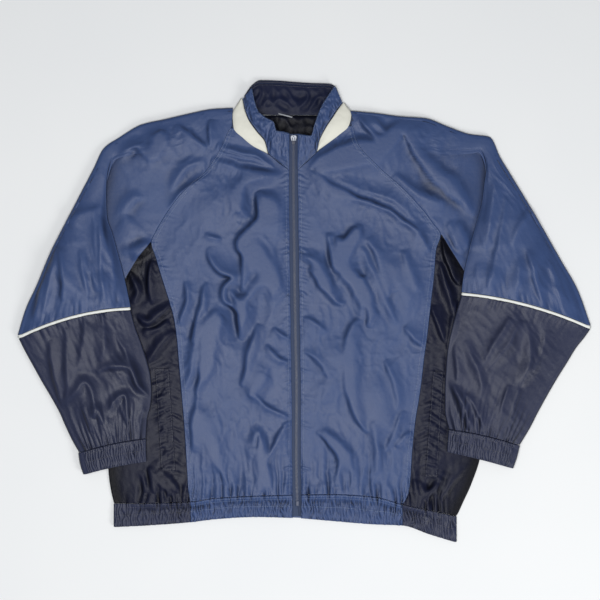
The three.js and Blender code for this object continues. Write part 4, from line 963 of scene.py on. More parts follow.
class Graph:
    """Short way to put nodes into a material and join them."""

    def __init__(self, name: str) -> None:
        """Starts a material that holds a Principled shader and its output alone.

        Args:
            name: The material's name.
        """
        self.material = bpy.data.materials.new(name)
        self.material.use_nodes = True
        self.tree = self.material.node_tree
        self.shader = self.tree.nodes["Principled BSDF"]

    def add(self, kind: str, inputs: dict[str, object] | None = None, **settings: object) -> bpy.types.Node:
        """Adds a node.

        Args:
            kind: Blender's name for the node type.
            inputs: Values, or sockets of other nodes, for the named inputs.
            **settings: Attributes of the node.

        Returns:
            The node.
        """
        node = self.tree.nodes.new(kind)
        for key, value in settings.items():
            setattr(node, key, value)
        for key, value in (inputs or {}).items():
            socket = node.inputs[key]
            if isinstance(value, bpy.types.NodeSocket):
                self.tree.links.new(value, socket)
            else:
                socket.default_value = value
        return node

    def shade(self, **inputs: object) -> None:
        """Sets the shader's inputs, whose names have _ for a space, to values or sockets."""
        for key, value in inputs.items():
            socket = self.shader.inputs[key.replace("_", " ")]
            if isinstance(value, bpy.types.NodeSocket):
                self.tree.links.new(value, socket)
            else:
                socket.default_value = value

    def blend(self, a: object, b: object, factor: object) -> bpy.types.NodeSocket:
        """Mixes two colours by a factor.

        Args:
            a: Colour or socket at factor 0.
            b: Colour or socket at factor 1.
            factor: Number or socket.

        Returns:
            Socket with the mixed colour.
        """
        node = self.add("ShaderNodeMix", data_type="RGBA")
        for index, value in ((0, factor), (6, a), (7, b)):
            if isinstance(value, bpy.types.NodeSocket):
                self.tree.links.new(value, node.inputs[index])
            else:
                node.inputs[index].default_value = value
        return node.outputs[2]

    def math(self, operation: str, a: object, b: object) -> bpy.types.NodeSocket:
        """Joins two numbers by a Math operation.

        Args:
            operation: Blender's name of the operation.
            a: First number or socket.
            b: Second number or socket.

        Returns:
            Socket with the result.
        """
        node = self.add("ShaderNodeMath", operation=operation)
        for index, value in ((0, a), (1, b)):
            if isinstance(value, bpy.types.NodeSocket):
                self.tree.links.new(value, node.inputs[index])
            else:
                node.inputs[index].default_value = value
        return node.outputs[0]


def linear(red: int, green: int, blue: int, scale: float = 1.0) -> tuple[float, float, float, float]:
    """A colour as 0..255 display values, turned into the linear values that shaders use.

    Args:
        red: Red, 0 to 255.
        green: Green.
        blue: Blue.
        scale: Factor on the linear values.

    Returns:
        Linear red, green, blue and alpha.
    """
    shares = [c / 255 for c in (red, green, blue)]
    values = [c / 12.92 if c <= 0.04 else ((c + 0.055) / 1.055) ** 2.4 for c in shares]
    return (*(min(1.0, v * scale) for v in values), 1.0)


@dataclass(frozen=True)
class WovenFinish:
    """Woven cloth: two sets of threads, dye of uneven tone, painted shade in hollows and on steep flanks with
    painted light on crests, an uneven hand and a satin sheen.
    """

    name: str
    light: tuple[int, int, int]
    dark: tuple[int, int, int]
    roughness: float = 0.46
    sheen: float = 0.12
    specular: float = 0.5
    thread: float = 0.00042
    weave: float = 0.25
    hand: float = 0.35
    # Factor on the dark colour that gives the painted shade in hollows, on steep flanks and in shaded places.
    hollow: float = 0.4

    def material(self) -> bpy.types.Material:
        """Builds the nodes: thread bands on the flat cloth's own UV, and noise on Object coordinates.

        Returns:
            The material.
        """
        g = Graph(self.name)
        place = g.add("ShaderNodeTexCoord")
        flat = g.add("ShaderNodeUVMap", uv_map="Cloth")
        bands = [
            g.add("ShaderNodeTexWave", {"Vector": flat.outputs[0], "Scale": 0.31416 / self.thread,
                                        "Distortion": 0.6, "Detail": 1.0, "Detail Scale": 2.0},
                  wave_type="BANDS", bands_direction=direction, wave_profile="SIN").outputs["Fac"]
            for direction in ("X", "Y")
        ]
        threads = g.math("MAXIMUM", *bands)
        dye = g.add("ShaderNodeTexNoise", {"Vector": place.outputs["Object"], "Scale": 9.0, "Detail": 3.0,
                                           "Roughness": 0.55}).outputs["Fac"]
        slub = g.add("ShaderNodeTexNoise", {"Vector": flat.outputs[0], "Scale": 420.0, "Detail": 2.0,
                                            "Roughness": 0.6}).outputs["Fac"]
        grain = g.math("MULTIPLY", threads, slub)
        amount = g.math("ADD", g.math("MULTIPLY", dye, 0.75), g.math("MULTIPLY", grain, 0.45))
        worn = g.blend(linear(*self.dark), linear(*self.light), amount)
        # The point attribute blends the cloth's colour towards the darkened dark colour: painted shade in
        # hollows, on steep flanks and where the piece is shaded, painted light on crests.
        crest = g.add("ShaderNodeAttribute", attribute_name="PaintedLight",
                      attribute_type="GEOMETRY").outputs["Fac"]
        share = g.add("ShaderNodeMapRange", {"Value": crest, "From Min": 0.05, "From Max": 0.62},
                      interpolation_type="SMOOTHSTEP").outputs[0]
        colour = g.blend(linear(*self.dark, self.hollow), worn, share)
        crinkle = g.add("ShaderNodeTexNoise", {"Vector": place.outputs["Object"], "Scale": 160.0,
                                               "Detail": 3.0, "Roughness": 0.5}).outputs["Fac"]
        hand = g.add("ShaderNodeBump", {"Height": crinkle, "Strength": self.hand, "Distance": 0.0009})
        bump = g.add("ShaderNodeBump", {"Height": threads, "Strength": self.weave, "Distance": 0.00012,
                                        "Normal": hand.outputs[0]})
        uneven = g.add("ShaderNodeMapRange", {"Value": dye, "From Min": 0.3, "From Max": 0.7,
                                              "To Min": self.roughness - 0.05,
                                              "To Max": self.roughness + 0.06}).outputs[0]
        g.shade(Base_Color=colour, Roughness=uneven, Normal=bump.outputs[0], Sheen_Weight=self.sheen,
                Sheen_Roughness=0.4, Specular_IOR_Level=self.specular)
        return g.material


@dataclass(frozen=True)
class ThreadFinish:
    """Sewing thread: a plied twist that turns lighter and darker along it."""

    name: str
    light: tuple[int, int, int]
    dark: tuple[int, int, int]

    def material(self) -> bpy.types.Material:
        """Builds the nodes from fine noise on Object coordinates.

        Returns:
            The material.
        """
        g = Graph(self.name)
        place = g.add("ShaderNodeTexCoord")
        twist = g.add("ShaderNodeTexNoise", {"Vector": place.outputs["Object"], "Scale": 1500.0,
                                             "Detail": 1.0}).outputs["Fac"]
        bump = g.add("ShaderNodeBump", {"Height": twist, "Strength": 0.5, "Distance": 0.0001})
        g.shade(Base_Color=g.blend(linear(*self.dark), linear(*self.light), twist), Roughness=0.55,
                Normal=bump.outputs[0], Sheen_Weight=0.3, Sheen_Roughness=0.5)
        return g.material


@dataclass(frozen=True)
class HardFinish:
    """Metal or hard plastic of the zip, with small scratches and dulled patches."""

    name: str
    light: tuple[int, int, int]
    dark: tuple[int, int, int]
    metallic: float
    roughness: float
    scratch: float = 900.0

    def material(self) -> bpy.types.Material:
        """Builds the nodes from coarse and fine noise on Object coordinates.

        Returns:
            The material.
        """
        g = Graph(self.name)
        place = g.add("ShaderNodeTexCoord")
        wear = g.add("ShaderNodeTexNoise", {"Vector": place.outputs["Object"], "Scale": 260.0,
                                            "Detail": 4.0}).outputs["Fac"]
        lines = g.add("ShaderNodeTexNoise", {"Vector": place.outputs["Object"], "Scale": self.scratch,
                                             "Detail": 2.0, "Distortion": 0.8}).outputs["Fac"]
        rough = g.add("ShaderNodeMapRange", {"Value": wear, "From Min": 0.3, "From Max": 0.7,
                                             "To Min": self.roughness - 0.07,
                                             "To Max": self.roughness + 0.12}).outputs[0]
        bump = g.add("ShaderNodeBump", {"Height": lines, "Strength": 0.25, "Distance": 0.00008})
        g.shade(Base_Color=g.blend(linear(*self.dark), linear(*self.light), wear), Roughness=rough,
                Metallic=self.metallic, Normal=bump.outputs[0])
        return g.material


@dataclass(frozen=True)
class Finishes:
    """All finishes of the jacket, made once and shared by its pieces."""

    shell: bpy.types.Material
    panel: bpy.types.Material
    # side is a darker copy of the panel nylon: painted shade on the side panels and pocket welts that lie
    # beside the sleeves.
    side: bpy.types.Material
    stripe: bpy.types.Material
    piping: bpy.types.Material
    lining: bpy.types.Material
    tape: bpy.types.Material
    loop: bpy.types.Material
    metal: bpy.types.Material
    enamel: bpy.types.Material
    teeth: bpy.types.Material
    blue_thread: bpy.types.Material
    navy_thread: bpy.types.Material

    @classmethod
    def make(cls) -> Finishes:
        """Builds each material from its colours.

        Returns:
            The set of finishes.
        """
        return cls(
            shell=WovenFinish("shell_nylon", (60, 82, 128), (46, 65, 108), 0.42, specular=0.36).material(),
            panel=WovenFinish("panel_nylon", (43, 50, 79), (29, 35, 58), 0.42, specular=0.34).material(),
            # Panel nylon with a darker dye, standing in for the shade on the side panels and welts under the
            # sleeves.
            side=WovenFinish("side_nylon_painted_shade", (24, 29, 54), (12, 15, 32), 0.36, 0.0, 0.17).material(),
            stripe=WovenFinish("stripe_nylon", (236, 236, 226), (220, 220, 208), 0.5, 0.1).material(),
            piping=WovenFinish("piping_cord", (244, 246, 243), (222, 226, 222), 0.5, 0.1).material(),
            lining=WovenFinish("neck_lining", (30, 37, 66), (13, 17, 36), 0.4, 0.0, 0.13).material(),
            tape=WovenFinish("zip_tape", (64, 78, 108), (46, 57, 84), 0.7, 0.2, 0.3, thread=0.0008,
                             weave=0.6).material(),
            loop=WovenFinish("loop_ribbon", (168, 172, 180), (136, 140, 150), 0.5, 0.2).material(),
            metal=HardFinish("slider_metal", (150, 153, 160), (104, 108, 116), 1.0, 0.42).material(),
            enamel=HardFinish("pull_enamel", (52, 56, 70), (34, 36, 46), 0.55, 0.4).material(),
            teeth=HardFinish("zip_teeth", (66, 78, 108), (40, 49, 74), 0.0, 0.42).material(),
            blue_thread=ThreadFinish("shell_thread", (136, 158, 196), (74, 92, 132)).material(),
            navy_thread=ThreadFinish("panel_thread", (58, 62, 86), (34, 36, 54)).material(),
        )


def nose(centre: Array, away: Array, reach: Array, low: Array, high: Array, steps: int) -> Array:
    """A turn of cloth at an outer fold: half an ellipse from the upper wall round to the lower one.

    Args:
        centre: (m, 3) upper points where the turn starts.
        away: (m, 3) unit directions out of the cloth.
        reach: How far the turn stands out.
        low: (m,) height at its end.
        high: (m,) height at its start.
        steps: Number of steps; the first point, which is the centre's, is left out.

    Returns:
        (m, steps, 3) points.
    """
    angle = math.pi * (0.5 - np.arange(1, steps + 1) / steps)
    reach = np.broadcast_to(np.asarray(reach, dtype=float), low.shape)[:, None]
    out = centre[:, None, :] + away[:, None, :] * (reach * np.cos(angle))[..., None]
    middle, half = (low + high) / 2, (high - low) / 2
    out[..., 2] = middle[:, None] + half[:, None] * np.sin(angle)
    return out


def body_rows(side: Side, first: float, last: float, step: float) -> dict[str, Array]:
    """Fine body sections of a side between two places in its table.

    Args:
        side: Side of the jacket.
        first: Row number to start at.
        last: Row number to end at.
        step: Distance between rows in millimetres.

    Returns:
        The table's columns at the fine rows.
    """
    rows = BODY[side.value]
    numbers = np.arange(len(rows["y"]))
    y_first, y_last = np.interp([first, last], numbers, rows["y"])
    y = mix(y_first, y_last, sewn_steps(y_first - y_last, step))
    fine = {name: curve(rows["y"], rows[name], y) for name in ("inner", "seam", "edge")}
    return {"y": y, **fine}


@dataclass
class BodyPanels:
    """Fronts, side panels, pocket welts and the back of the body."""

    finishes: Finishes
    row_step: float = 2.1
    column_step: float = 2.4
    side_fold: float = 3.0
    back_neck: float = 344.6
    # Strength of the painted shadow that the sleeve casts on the body beside it.
    sleeve_shadow: float = 0.6

    def build(self) -> dict[str, Cloth]:
        """Makes all pieces of the body.

        Returns:
            The pieces by name.
        """
        pieces = [self.back()]
        for side in Side:
            pieces += [self.front(side), self.side_front(side), self.side_back(side), self.welt(side)]
        return {piece.name: piece for piece in pieces}

    def front(self, side: Side) -> Cloth:
        """Lays a front between the zip and the raglan and side seams, on the body's height.

        Puckers run beside the zip, the raglan seam and the side seam.

        Args:
            side: The wearer's side.

        Returns:
            The piece of cloth.
        """
        rows = body_rows(side, 0, len(BODY[side.value]["y"]) - 1, self.row_step)
        t = sewn_steps(205, self.column_step)[None, :]
        inner = (rows["inner"] + side.out * SEAM / 2)[:, None]
        seam = (rows["seam"] - side.out * SEAM / 2)[:, None]
        x = mix(inner, seam, t)
        y = hem_bent(x, np.broadcast_to(rows["y"][:, None], x.shape))
        z = HEIGHT.front(x, y)
        from_zip = np.abs(x - inner) + np.maximum(0, rows["y"][:, None] - NECK_FRONT)
        z = z + puckers(from_zip, y, 1.7, 7.5, 8) * smooth(0.2, 2.5, from_zip)
        slope = 0.72
        from_seam = np.abs(x - seam) * slope
        z = z + puckers(from_seam, y / slope, 1.5, 6.5, 6) * smooth(0.2, 2.2, from_seam)
        grid = np.stack([x, y, np.maximum(z, WALL * 2.2)], axis=-1)
        cut = {Side.RIGHT: ((0.255, 0.66), 0.121), Side.LEFT: ((0.262, 0.665), 0.128)}[side]
        return Cloth(f"panel_front_{side.value}", grid, WALL, self.finishes.shell, "shell",
                     (f"front_{side.value}",), *cut, ("back",))

    def side_front(self, side: Side) -> Cloth:
        """Lays a side panel from the side seam to the armhole, and round the body's side fold below it.

        Args:
            side: The wearer's side.

        Returns:
            The piece of cloth.
        """
        last = len(BODY[side.value]["y"]) - 1
        rows = body_rows(side, APEX_ROW, last, self.row_step)
        underarm = BODY[side.value]["y"][UNDERARM_ROW]
        closed = smooth(underarm + 6, underarm - 6, rows["y"])
        reach = mix(0.6, self.side_fold, closed)
        start = rows["seam"] + side.out * SEAM / 2
        end = rows["edge"] - side.out * (SEAM / 2 + reach)
        end = np.where((end - start) * side.out < 0.5, start + side.out * 0.5, end)
        t = sewn_steps(110, self.column_step)[None, :]
        x = mix(start[:, None], end[:, None], t)
        y = hem_bent(x, np.broadcast_to(rows["y"][:, None], x.shape))
        z = HEIGHT.front(x, y)
        from_seam = np.abs(x - start[:, None])
        z = z + puckers(from_seam, y + 40, 0.6, 6.5, 7) * smooth(0.2, 2.2, from_seam)
        z = z + self.welt_puckers(side, x, y)
        z = np.maximum(z, WALL * 2.0)
        upper = np.stack([x, y, z], axis=-1)
        tip = upper[:, -1]
        away = np.broadcast_to([side.out, 0.0, 0.0], tip.shape)
        low = mix(tip[:, 2] - 0.2, TABLE, closed)
        turn = nose(tip, away, reach, low, tip[:, 2], 8)
        grid = np.concatenate([upper, turn], axis=1)
        # Painted shadow of the sleeve: the colour darkens towards the side panel's edge under the sleeve.
        shade = self.sleeve_shadow * np.exp(-np.abs(grid[..., 0] - end[:, None]) / 20)
        cut = {Side.RIGHT: ((0.165, 0.50), 0.0527), Side.LEFT: ((0.16, 0.50), 0.0488)}[side]
        return Cloth(f"panel_side_{side.value}", grid, WALL, self.finishes.side, "panel",
                     (f"side_front_{side.value}",), *cut, (f"side_back_{side.value}",), shade=shade)

    def welt_puckers(self, side: Side, x: Array, y: Array) -> Array:
        """Cross wrinkles that the pocket's stitching draws into the side panel around it.

        Args:
            side: The wearer's side.
            x: Places across, in millimetres.
            y: Places from hem to collar.

        Returns:
            Height that the wrinkles add.
        """
        corners = WELTS[side.value]
        v = np.clip((y - corners[0, 0, 1]) / (corners[1, 0, 1] - corners[0, 0, 1]), 0, 1)
        inner = mix(corners[0, 0, 0], corners[1, 0, 0], v)
        outer = mix(corners[0, 1, 0], corners[1, 1, 0], v)
        beside = np.minimum(np.abs(x - inner), np.abs(x - outer))
        over = np.maximum(0, y - corners[0, 0, 1]) + np.maximum(0, corners[1, 0, 1] - y)
        strength = np.exp(-((beside / 16) ** 2)) * np.exp(-((over / 14) ** 2))
        wave = GATHERS(x / 34 + 3, (y + 0.5 * np.abs(x - inner)) / 7.5)
        return 2.6 * strength * wave

    def side_back(self, side: Side) -> Cloth:
        """Lays the side panel's back half flat on the table.

        Args:
            side: The wearer's side.

        Returns:
            The piece of cloth.
        """
        last = len(BODY[side.value]["y"]) - 1
        rows = body_rows(side, APEX_ROW, last, 6)
        underarm = BODY[side.value]["y"][UNDERARM_ROW]
        inset = np.where(rows["y"] <= underarm, 4.0, SEAM / 2)
        start = rows["seam"] + side.out * SEAM / 2
        end = rows["edge"] - side.out * inset
        end = np.where((end - start) * side.out < 0.8, start + side.out * 0.8, end)
        x = mix(start[:, None], end[:, None], sewn_steps(100, 6)[None, :])
        y = hem_bent(x, np.broadcast_to(rows["y"][:, None], x.shape))
        grid = np.stack([x, y, np.full_like(x, TABLE)], axis=-1)
        cut = {Side.RIGHT: ((0.15, 0.48), 0.050), Side.LEFT: ((0.14, 0.48), 0.046)}[side]
        return Cloth(f"panel_side_back_{side.value}", grid, WALL, self.finishes.panel, "panel",
                     (f"side_back_{side.value}",), *cut, floor=0.0)

    def back(self) -> Cloth:
        """Lays the back flat on the table, between the seams of both sides, from the neck to the hem.

        Returns:
            The piece of cloth.
        """
        right = body_rows(Side.RIGHT, 0, len(BODY["right"]["y"]) - 1, 7)
        number = np.interp(-right["y"], -BODY["right"]["y"], np.arange(len(BODY["right"]["y"])))
        left_y = np.interp(number, np.arange(len(BODY["left"]["y"])), BODY["left"]["y"])
        left_seam = curve(BODY["left"]["y"], BODY["left"]["seam"], left_y)
        t = sewn_steps(450, 8)[None, :]
        x = mix((right["seam"] + SEAM / 2)[:, None], (left_seam - SEAM / 2)[:, None], t)
        y = hem_bent(x, mix(right["y"][:, None], left_y[:, None], t))
        neck = np.linspace(1, 0, 5)[:-1, None]
        top_x = mix(x[0], mix(-125, 81, t[0]), neck)
        top_y = mix(y[0], self.back_neck, neck)
        x, y = np.vstack([top_x, x]), np.vstack([top_y, y])
        grid = np.stack([x, y, np.full_like(x, TABLE)], axis=-1)
        return Cloth("panel_back", grid, WALL, self.finishes.shell, "shell", ("back",), (0.51, 0.70), 0.27,
                     floor=0.0)

    def welt_place(self, side: Side, v: Array, t: Array) -> tuple[Array, Array]:
        """Plan place on a pocket welt at shares down its length and across it.

        Args:
            side: The wearer's side.
            v: Share down the welt.
            t: Share across it.

        Returns:
            Places across, and places from hem to collar.
        """
        corners = WELTS[side.value]
        inner = mix(corners[0, 0], corners[1, 0], v[..., None])
        outer = mix(corners[0, 1], corners[1, 1], v[..., None])
        place = mix(inner, outer, t[..., None])
        return place[..., 0], place[..., 1]

    def welt(self, side: Side) -> Cloth:
        """Lays a pocket welt on the side panel, with soft cross wrinkles of its own.

        Args:
            side: The wearer's side.

        Returns:
            The piece of cloth.
        """
        v, t = np.meshgrid(sewn_steps(183, 1.5), sewn_steps(24, 1.5), indexing="ij")
        x, y = self.welt_place(side, v, t)
        z = HEIGHT.front(x, y) + self.welt_puckers(side, x, y) + WALL / 2 + SEAM + WELT_WALL / 2
        z = z + 0.9 * GATHERS(x / 30 + 7, y / 6.5) * 4 * t * (1 - t)
        grid = np.stack([x, y, z], axis=-1)
        cut = {Side.RIGHT: ((0.026, 0.186), 0.0047), Side.LEFT: ((0.024, 0.19), 0.0045)}[side]
        return Cloth(f"welt_{side.value}", grid, WELT_WALL, self.finishes.side, "panel",
                     (f"pocket_welt_{side.value}",), *cut, (f"panel_side_{side.value}",))


def sleeve_height(x: Array, y: Array, inner: Array, t: Array, width: Array) -> Array:
    """Height of a sleeve's upper wall between its inner fold (t 0) and its outer one (t 1).

    Args:
        x: Points across.
        y: Points along.
        inner: Height at the inner fold.
        t: Share from the inner fold to the outer one.
        width: Distance between the folds.

    Returns:
        Heights in millimetres.
    """
    puff = SLEEVE_PUFF * np.clip(width / 110, 0, 1) * (4 * t * (1 - t)) ** 0.8
    calm = smooth(0, 0.13, t) * smooth(1, 0.9, t)
    relief = (folds_at(SLEEVE_FOLDS, x, y) + 1.25 * creases_at(SLEEVE_CREASES, x, y)
              + 0.75 * crumple(y * 0.6 + x, y, 2.6))
    relief = np.maximum(relief, -0.6 * puff - 1.0)
    return mix(inner, SLEEVE_EDGE, t) + puff + calm * relief


def row_table(rows: dict[str, Array], count: int, ends: bool = True) -> tuple[dict[str, Array], Array]:
    """Fine rows of a sleeve's table, smooth from row to row.

    Args:
        rows: Table of sections.
        count: Number of fine rows.
        ends: Whether the rows are closer near both ends.

    Returns:
        The columns at the fine rows, and the row numbers.
    """
    last = len(next(iter(rows.values()))) - 1
    number = last * sewn_steps(count * 2.0, 2.0) if ends else np.linspace(0, last, count)
    return {name: curve(np.arange(last + 1), values, number) for name, values in rows.items()}, number


def plan(row: dict[str, Array], t: Array) -> Array:
    """Plan points from a sleeve's inner fold to its outer one, on a bowed line, at height 0.

    Args:
        row: (m,) columns of the sections.
        t: (m, k) or (k,) shares.

    Returns:
        (m, k, 3) points.
    """
    t = np.broadcast_to(t, (len(row["foldX"]), np.shape(t)[-1]))
    x = mix(row["foldX"][:, None], row["outX"][:, None], t)
    y = mix(row["foldY"][:, None], row["outY"][:, None], t) + row["bow"][:, None] * 4 * t * (1 - t)
    return np.stack([x, y, np.zeros_like(x)], axis=-1)


def bowed(bow: Array, share: Array) -> Array:
    """How far a sleeve's bowed line stands off its chord: bow * 4s(1 - s) at a share s."""
    return bow * 4 * share * (1 - share)


@dataclass
class Sleeves:
    """Upper and lower sleeves with the piping between them, and the gathered cuffs."""

    finishes: Finishes
    fold_inset: float = 3.0
    # Strength of the painted shadow under the sleeve's inner fold.
    sleeve_shadow: float = 0.6
    neck_tuck: float = 3.5
    pleat_pitch: float = 5.0
    pleat_height: float = 0.75

    def build(self) -> dict[str, Cloth]:
        """Makes all pieces of both sleeves.

        Returns:
            The pieces by name.
        """
        pieces = []
        for side in Side:
            pieces += [self.upper(side), self.piping(side), self.lower(side), self.cuff(side)]
        return {piece.name: piece for piece in pieces}

    def upper(self, side: Side) -> Cloth:
        """Lays the sleeve above the piping as one strip of cloth.

        It runs from its seam with the body, under the fold where the sleeve is laid down, over that fold,
        across to the outer fold, and back along the table to the seam at the back. A full turn of cloth is
        a half circle: radius * sin(angle) sideways and radius * (1 - cos(angle)) up.

        Args:
            side: The wearer's side.

        Returns:
            The piece of cloth.
        """
        rows, number = row_table(UPPER_SLEEVE[side.value], 150)
        body = BODY[side.value]
        y = rows["y"]
        seam_x = np.where(y > body["y"][APEX_ROW], curve(body["y"], body["seam"], y),
                          curve(body["y"], body["edge"], y))
        tucked = self.neck_tuck * smooth(318, 326, y)
        start = np.stack([seam_x + side.out * (SEAM / 2 - tucked), y, 0 * y], axis=-1)
        fold = np.stack([rows["foldX"], rows["foldY"], 0 * y], axis=-1)
        outer = np.stack([rows["outX"], rows["outY"], 0 * y], axis=-1)
        away = unit(outer - fold)
        width = np.linalg.norm(outer - fold, axis=-1)
        turn = plan(rows, (rows["deep"] / width)[:, None])[:, 0]
        radius = PLEAT_RADIUS * np.clip(rows["rise"] * 1.3, 0, 1)
        bulge = PLEAT_RADIUS * np.clip((rows["rise"] - 0.7) / 0.3, 0, 1)
        arc, middle = 7, 10
        spread = (1 - bulge / PLEAT_RADIUS) / (2 * arc + middle + 1)

        def lifted(points: Array, up: Array) -> Array:
            """Points on the body's height, raised by up.

            Args:
                points: (..., 3) points in plan.
                up: How far each is raised.

            Returns:
                (..., 3) points.
            """
            out = points.copy()
            out[..., 2] = HEIGHT.front(points[..., 0], points[..., 1]) + up
            return out

        shares = sewn_steps(60, 2.8)
        under_fold = lifted(mix(start[:, None], turn[:, None], shares[None, :, None]), 0)
        angle = math.pi * np.arange(1, arc + 1) / (arc + 1)
        k = np.arange(1, arc + 1)
        first = mix(turn[:, None], fold[:, None], (k * spread[:, None])[..., None])
        first = lifted(first + away[:, None] * (bulge[:, None] * np.sin(angle))[..., None],
                       radius[:, None] * (1 - np.cos(angle)))
        begin = (arc + 1) * spread[:, None]
        t = mix(begin, 1 - begin, np.linspace(0, 1, middle + 1)[None, :])
        between = lifted(mix(turn[:, None], fold[:, None], t[..., None]), 2 * radius[:, None])
        second = mix(turn[:, None], fold[:, None], (1 - (arc + 1 - k) * spread[:, None])[..., None])
        second = lifted(second - away[:, None] * (bulge[:, None] * np.sin(angle))[..., None],
                        radius[:, None] * (3 - np.cos(angle)))
        inner = HEIGHT.front(fold[:, 0], fold[:, 1]) + 4 * radius
        reach = np.minimum(SLEEVE_EDGE, width * 0.35)
        stop = 1 - reach / width
        across = sewn_steps(165, 2.4)[None, :] * stop[:, None]
        upper = plan(rows, across)
        free = smooth(4, 9, number)[:, None]
        on_shoulder = HEIGHT.front(upper[..., 0], upper[..., 1]) + 4 * radius[:, None]
        on_sleeve = sleeve_height(upper[..., 0], upper[..., 1], inner[:, None], across, width[:, None])
        upper[..., 2] = mix(on_shoulder, on_sleeve, free)
        upper[..., 2] += self.piping_gathers(rows, number, upper, across / stop[:, None])
        tip = upper[:, -1]
        low = np.full(len(y), TABLE)
        turned = nose(tip, away, reach, low, tip[:, 2], 10)
        under = tip.copy()
        under[:, 2] = TABLE
        home = start.copy()
        home[:, 2] = TABLE
        home_at = ((start - fold) * away).sum(-1) / width
        t = np.linspace(0, 1, 20)[1:]
        bow = rows["bow"][:, None]
        bend = bowed(bow, mix(stop[:, None], home_at[:, None], t))
        bend = bend - mix(bowed(bow, stop[:, None]), bowed(bow, home_at[:, None]), t)
        back = mix(under[:, None], home[:, None], t[None, :, None])
        back[..., 1] += bend
        grid = np.concatenate([under_fold, first, between, second, upper, turned, back], axis=1)
        # Painted shadow under the sleeve's fold: the cloth that runs under it darkens towards the turn.
        from_turn = np.linalg.norm(turn - start, axis=-1)[:, None] * (1 - shares)[None, :]
        shade = np.zeros(grid.shape[:2])
        below = smooth(3, 10, number)[:, None]
        shade[:, : len(shares)] = self.sleeve_shadow * below * np.exp(-from_turn / 17)
        cut = {Side.RIGHT: ((0.46, 0.50), 0.136), Side.LEFT: ((0.47, 0.51), 0.146)}[side]
        return Cloth(f"sleeve_{side.value}", grid, WALL, self.finishes.shell, "shell",
                     (f"sleeve_upper_{side.value}",), *cut, (f"panel_front_{side.value}",), floor=0.0,
                     shade=shade)

    def piping_gathers(self, rows: dict[str, Array], number: Array, upper: Array, t: Array) -> Array:
        """Lengthwise gathers that the piping draws into the sleeve: narrow ridged noise, fading from it.

        Args:
            rows: Columns of the sleeve's table, by name.
            number: Row number of each row of points.
            upper: (n, m, 3) points of the sleeve's upper wall.
            t: Share across the wall.

        Returns:
            Height that the gathers add.
        """
        last = plan({k: v[-1:] for k, v in rows.items()}, t[-1:])
        above = np.hypot(upper[..., 0] - last[..., 0], upper[..., 1] - last[..., 1])
        fade = np.exp(-above / 22) * smooth(0, 0.1, t) * smooth(1, 0.92, t)
        place = t * 200
        broad, fine = GATHERS(place / 9 + 5, above / 60), GATHERS(place / 5, above / 40)
        return fade * (2.6 * ridged(broad) + 1.3 * ridged(fine))

    def floor_height(self, side: Side, x: Array, y: Array, wall: float) -> Array:
        """Height of a sleeve's lower wall: on the table, and over the body where it lies on that.

        Args:
            side: The wearer's side.
            x: Places across, in millimetres.
            y: Places from hem to collar.
            wall: Thickness of the wall.

        Returns:
            Height of the wall's middle.
        """
        fold = np.abs(curve(SIDE_FOLD["y"], SIDE_FOLD[side.value], y))
        inside = fold - np.abs(x)
        over = HEIGHT(x, y) + WALL / 2 + CLEAR + wall / 2
        return mix(wall / 2, over, smooth(-30, -5, inside))

    def tube(self, side: Side, rows: dict[str, Array], wall: float, across: int,
             relief: Callable[[Array, Array], Array] | None = None) -> Array:
        """Lays a flattened tube: inner fold, upper wall, outer fold, and lower wall back to the seam.

        Args:
            side: Side of the jacket.
            rows: Fine columns of its sections.
            wall: Thickness of the cloth.
            across: Number of steps across the upper wall.
            relief: Height to add to the upper wall at shares across and its points.

        Returns:
            (m, n, 3) grid.
        """
        fold = np.stack([rows["foldX"], rows["foldY"], 0 * rows["foldX"]], axis=-1)
        outer = np.stack([rows["outX"], rows["outY"], 0 * rows["foldX"]], axis=-1)
        away = unit(outer - fold)
        width = np.linalg.norm(outer - fold, axis=-1)
        puff, _ = HEIGHT.plain(fold[:, 0], fold[:, 1])
        inner = BODY_LOW + puff + 4 * PLEAT_RADIUS
        share = np.linspace(0, 1, across + 1)
        low_end, high_end = self.fold_inset / width, 1 - SLEEVE_EDGE / width
        t = mix(low_end[:, None], high_end[:, None], share)
        upper = plan(rows, t)
        upper[..., 2] = sleeve_height(upper[..., 0], upper[..., 1], inner[:, None], t, width[:, None])
        if relief is not None:
            upper[..., 2] += relief(np.broadcast_to(share, t.shape), upper)
        steps = max(12, across // 6)
        back = mix(high_end[:, None], low_end[:, None], np.linspace(0, 1, steps + 1))
        lower = plan(rows, back)
        lower[..., 2] = self.floor_height(side, lower[..., 0], lower[..., 1], wall)
        under = mix(lower[:, -1:, 2], lower[:, :1, 2], share)
        upper[..., 2] = np.maximum(upper[..., 2], under + 3.2)
        first = nose(upper[:, 0], -away, self.fold_inset, lower[:, -1, 2], upper[:, 0, 2], 8)[:, ::-1]
        begin = (lower[:, -1] + away * wall * 0.2)[:, None]
        turned = nose(upper[:, -1], away, SLEEVE_EDGE, lower[:, 0, 2], upper[:, -1, 2], 10)
        end = begin + away[:, None] * SEAM
        return np.concatenate([begin, first[:, 1:], upper, turned, lower[:, 1:-1], end], axis=1)

    def lower(self, side: Side) -> Cloth:
        """Lays the sleeve below the piping, with gathers at the piping and over the cuff.

        Args:
            side: The wearer's side.

        Returns:
            The piece of cloth.
        """
        rows, number = row_table(LOWER_SLEEVE[side.value], 115)
        last = number[-1]

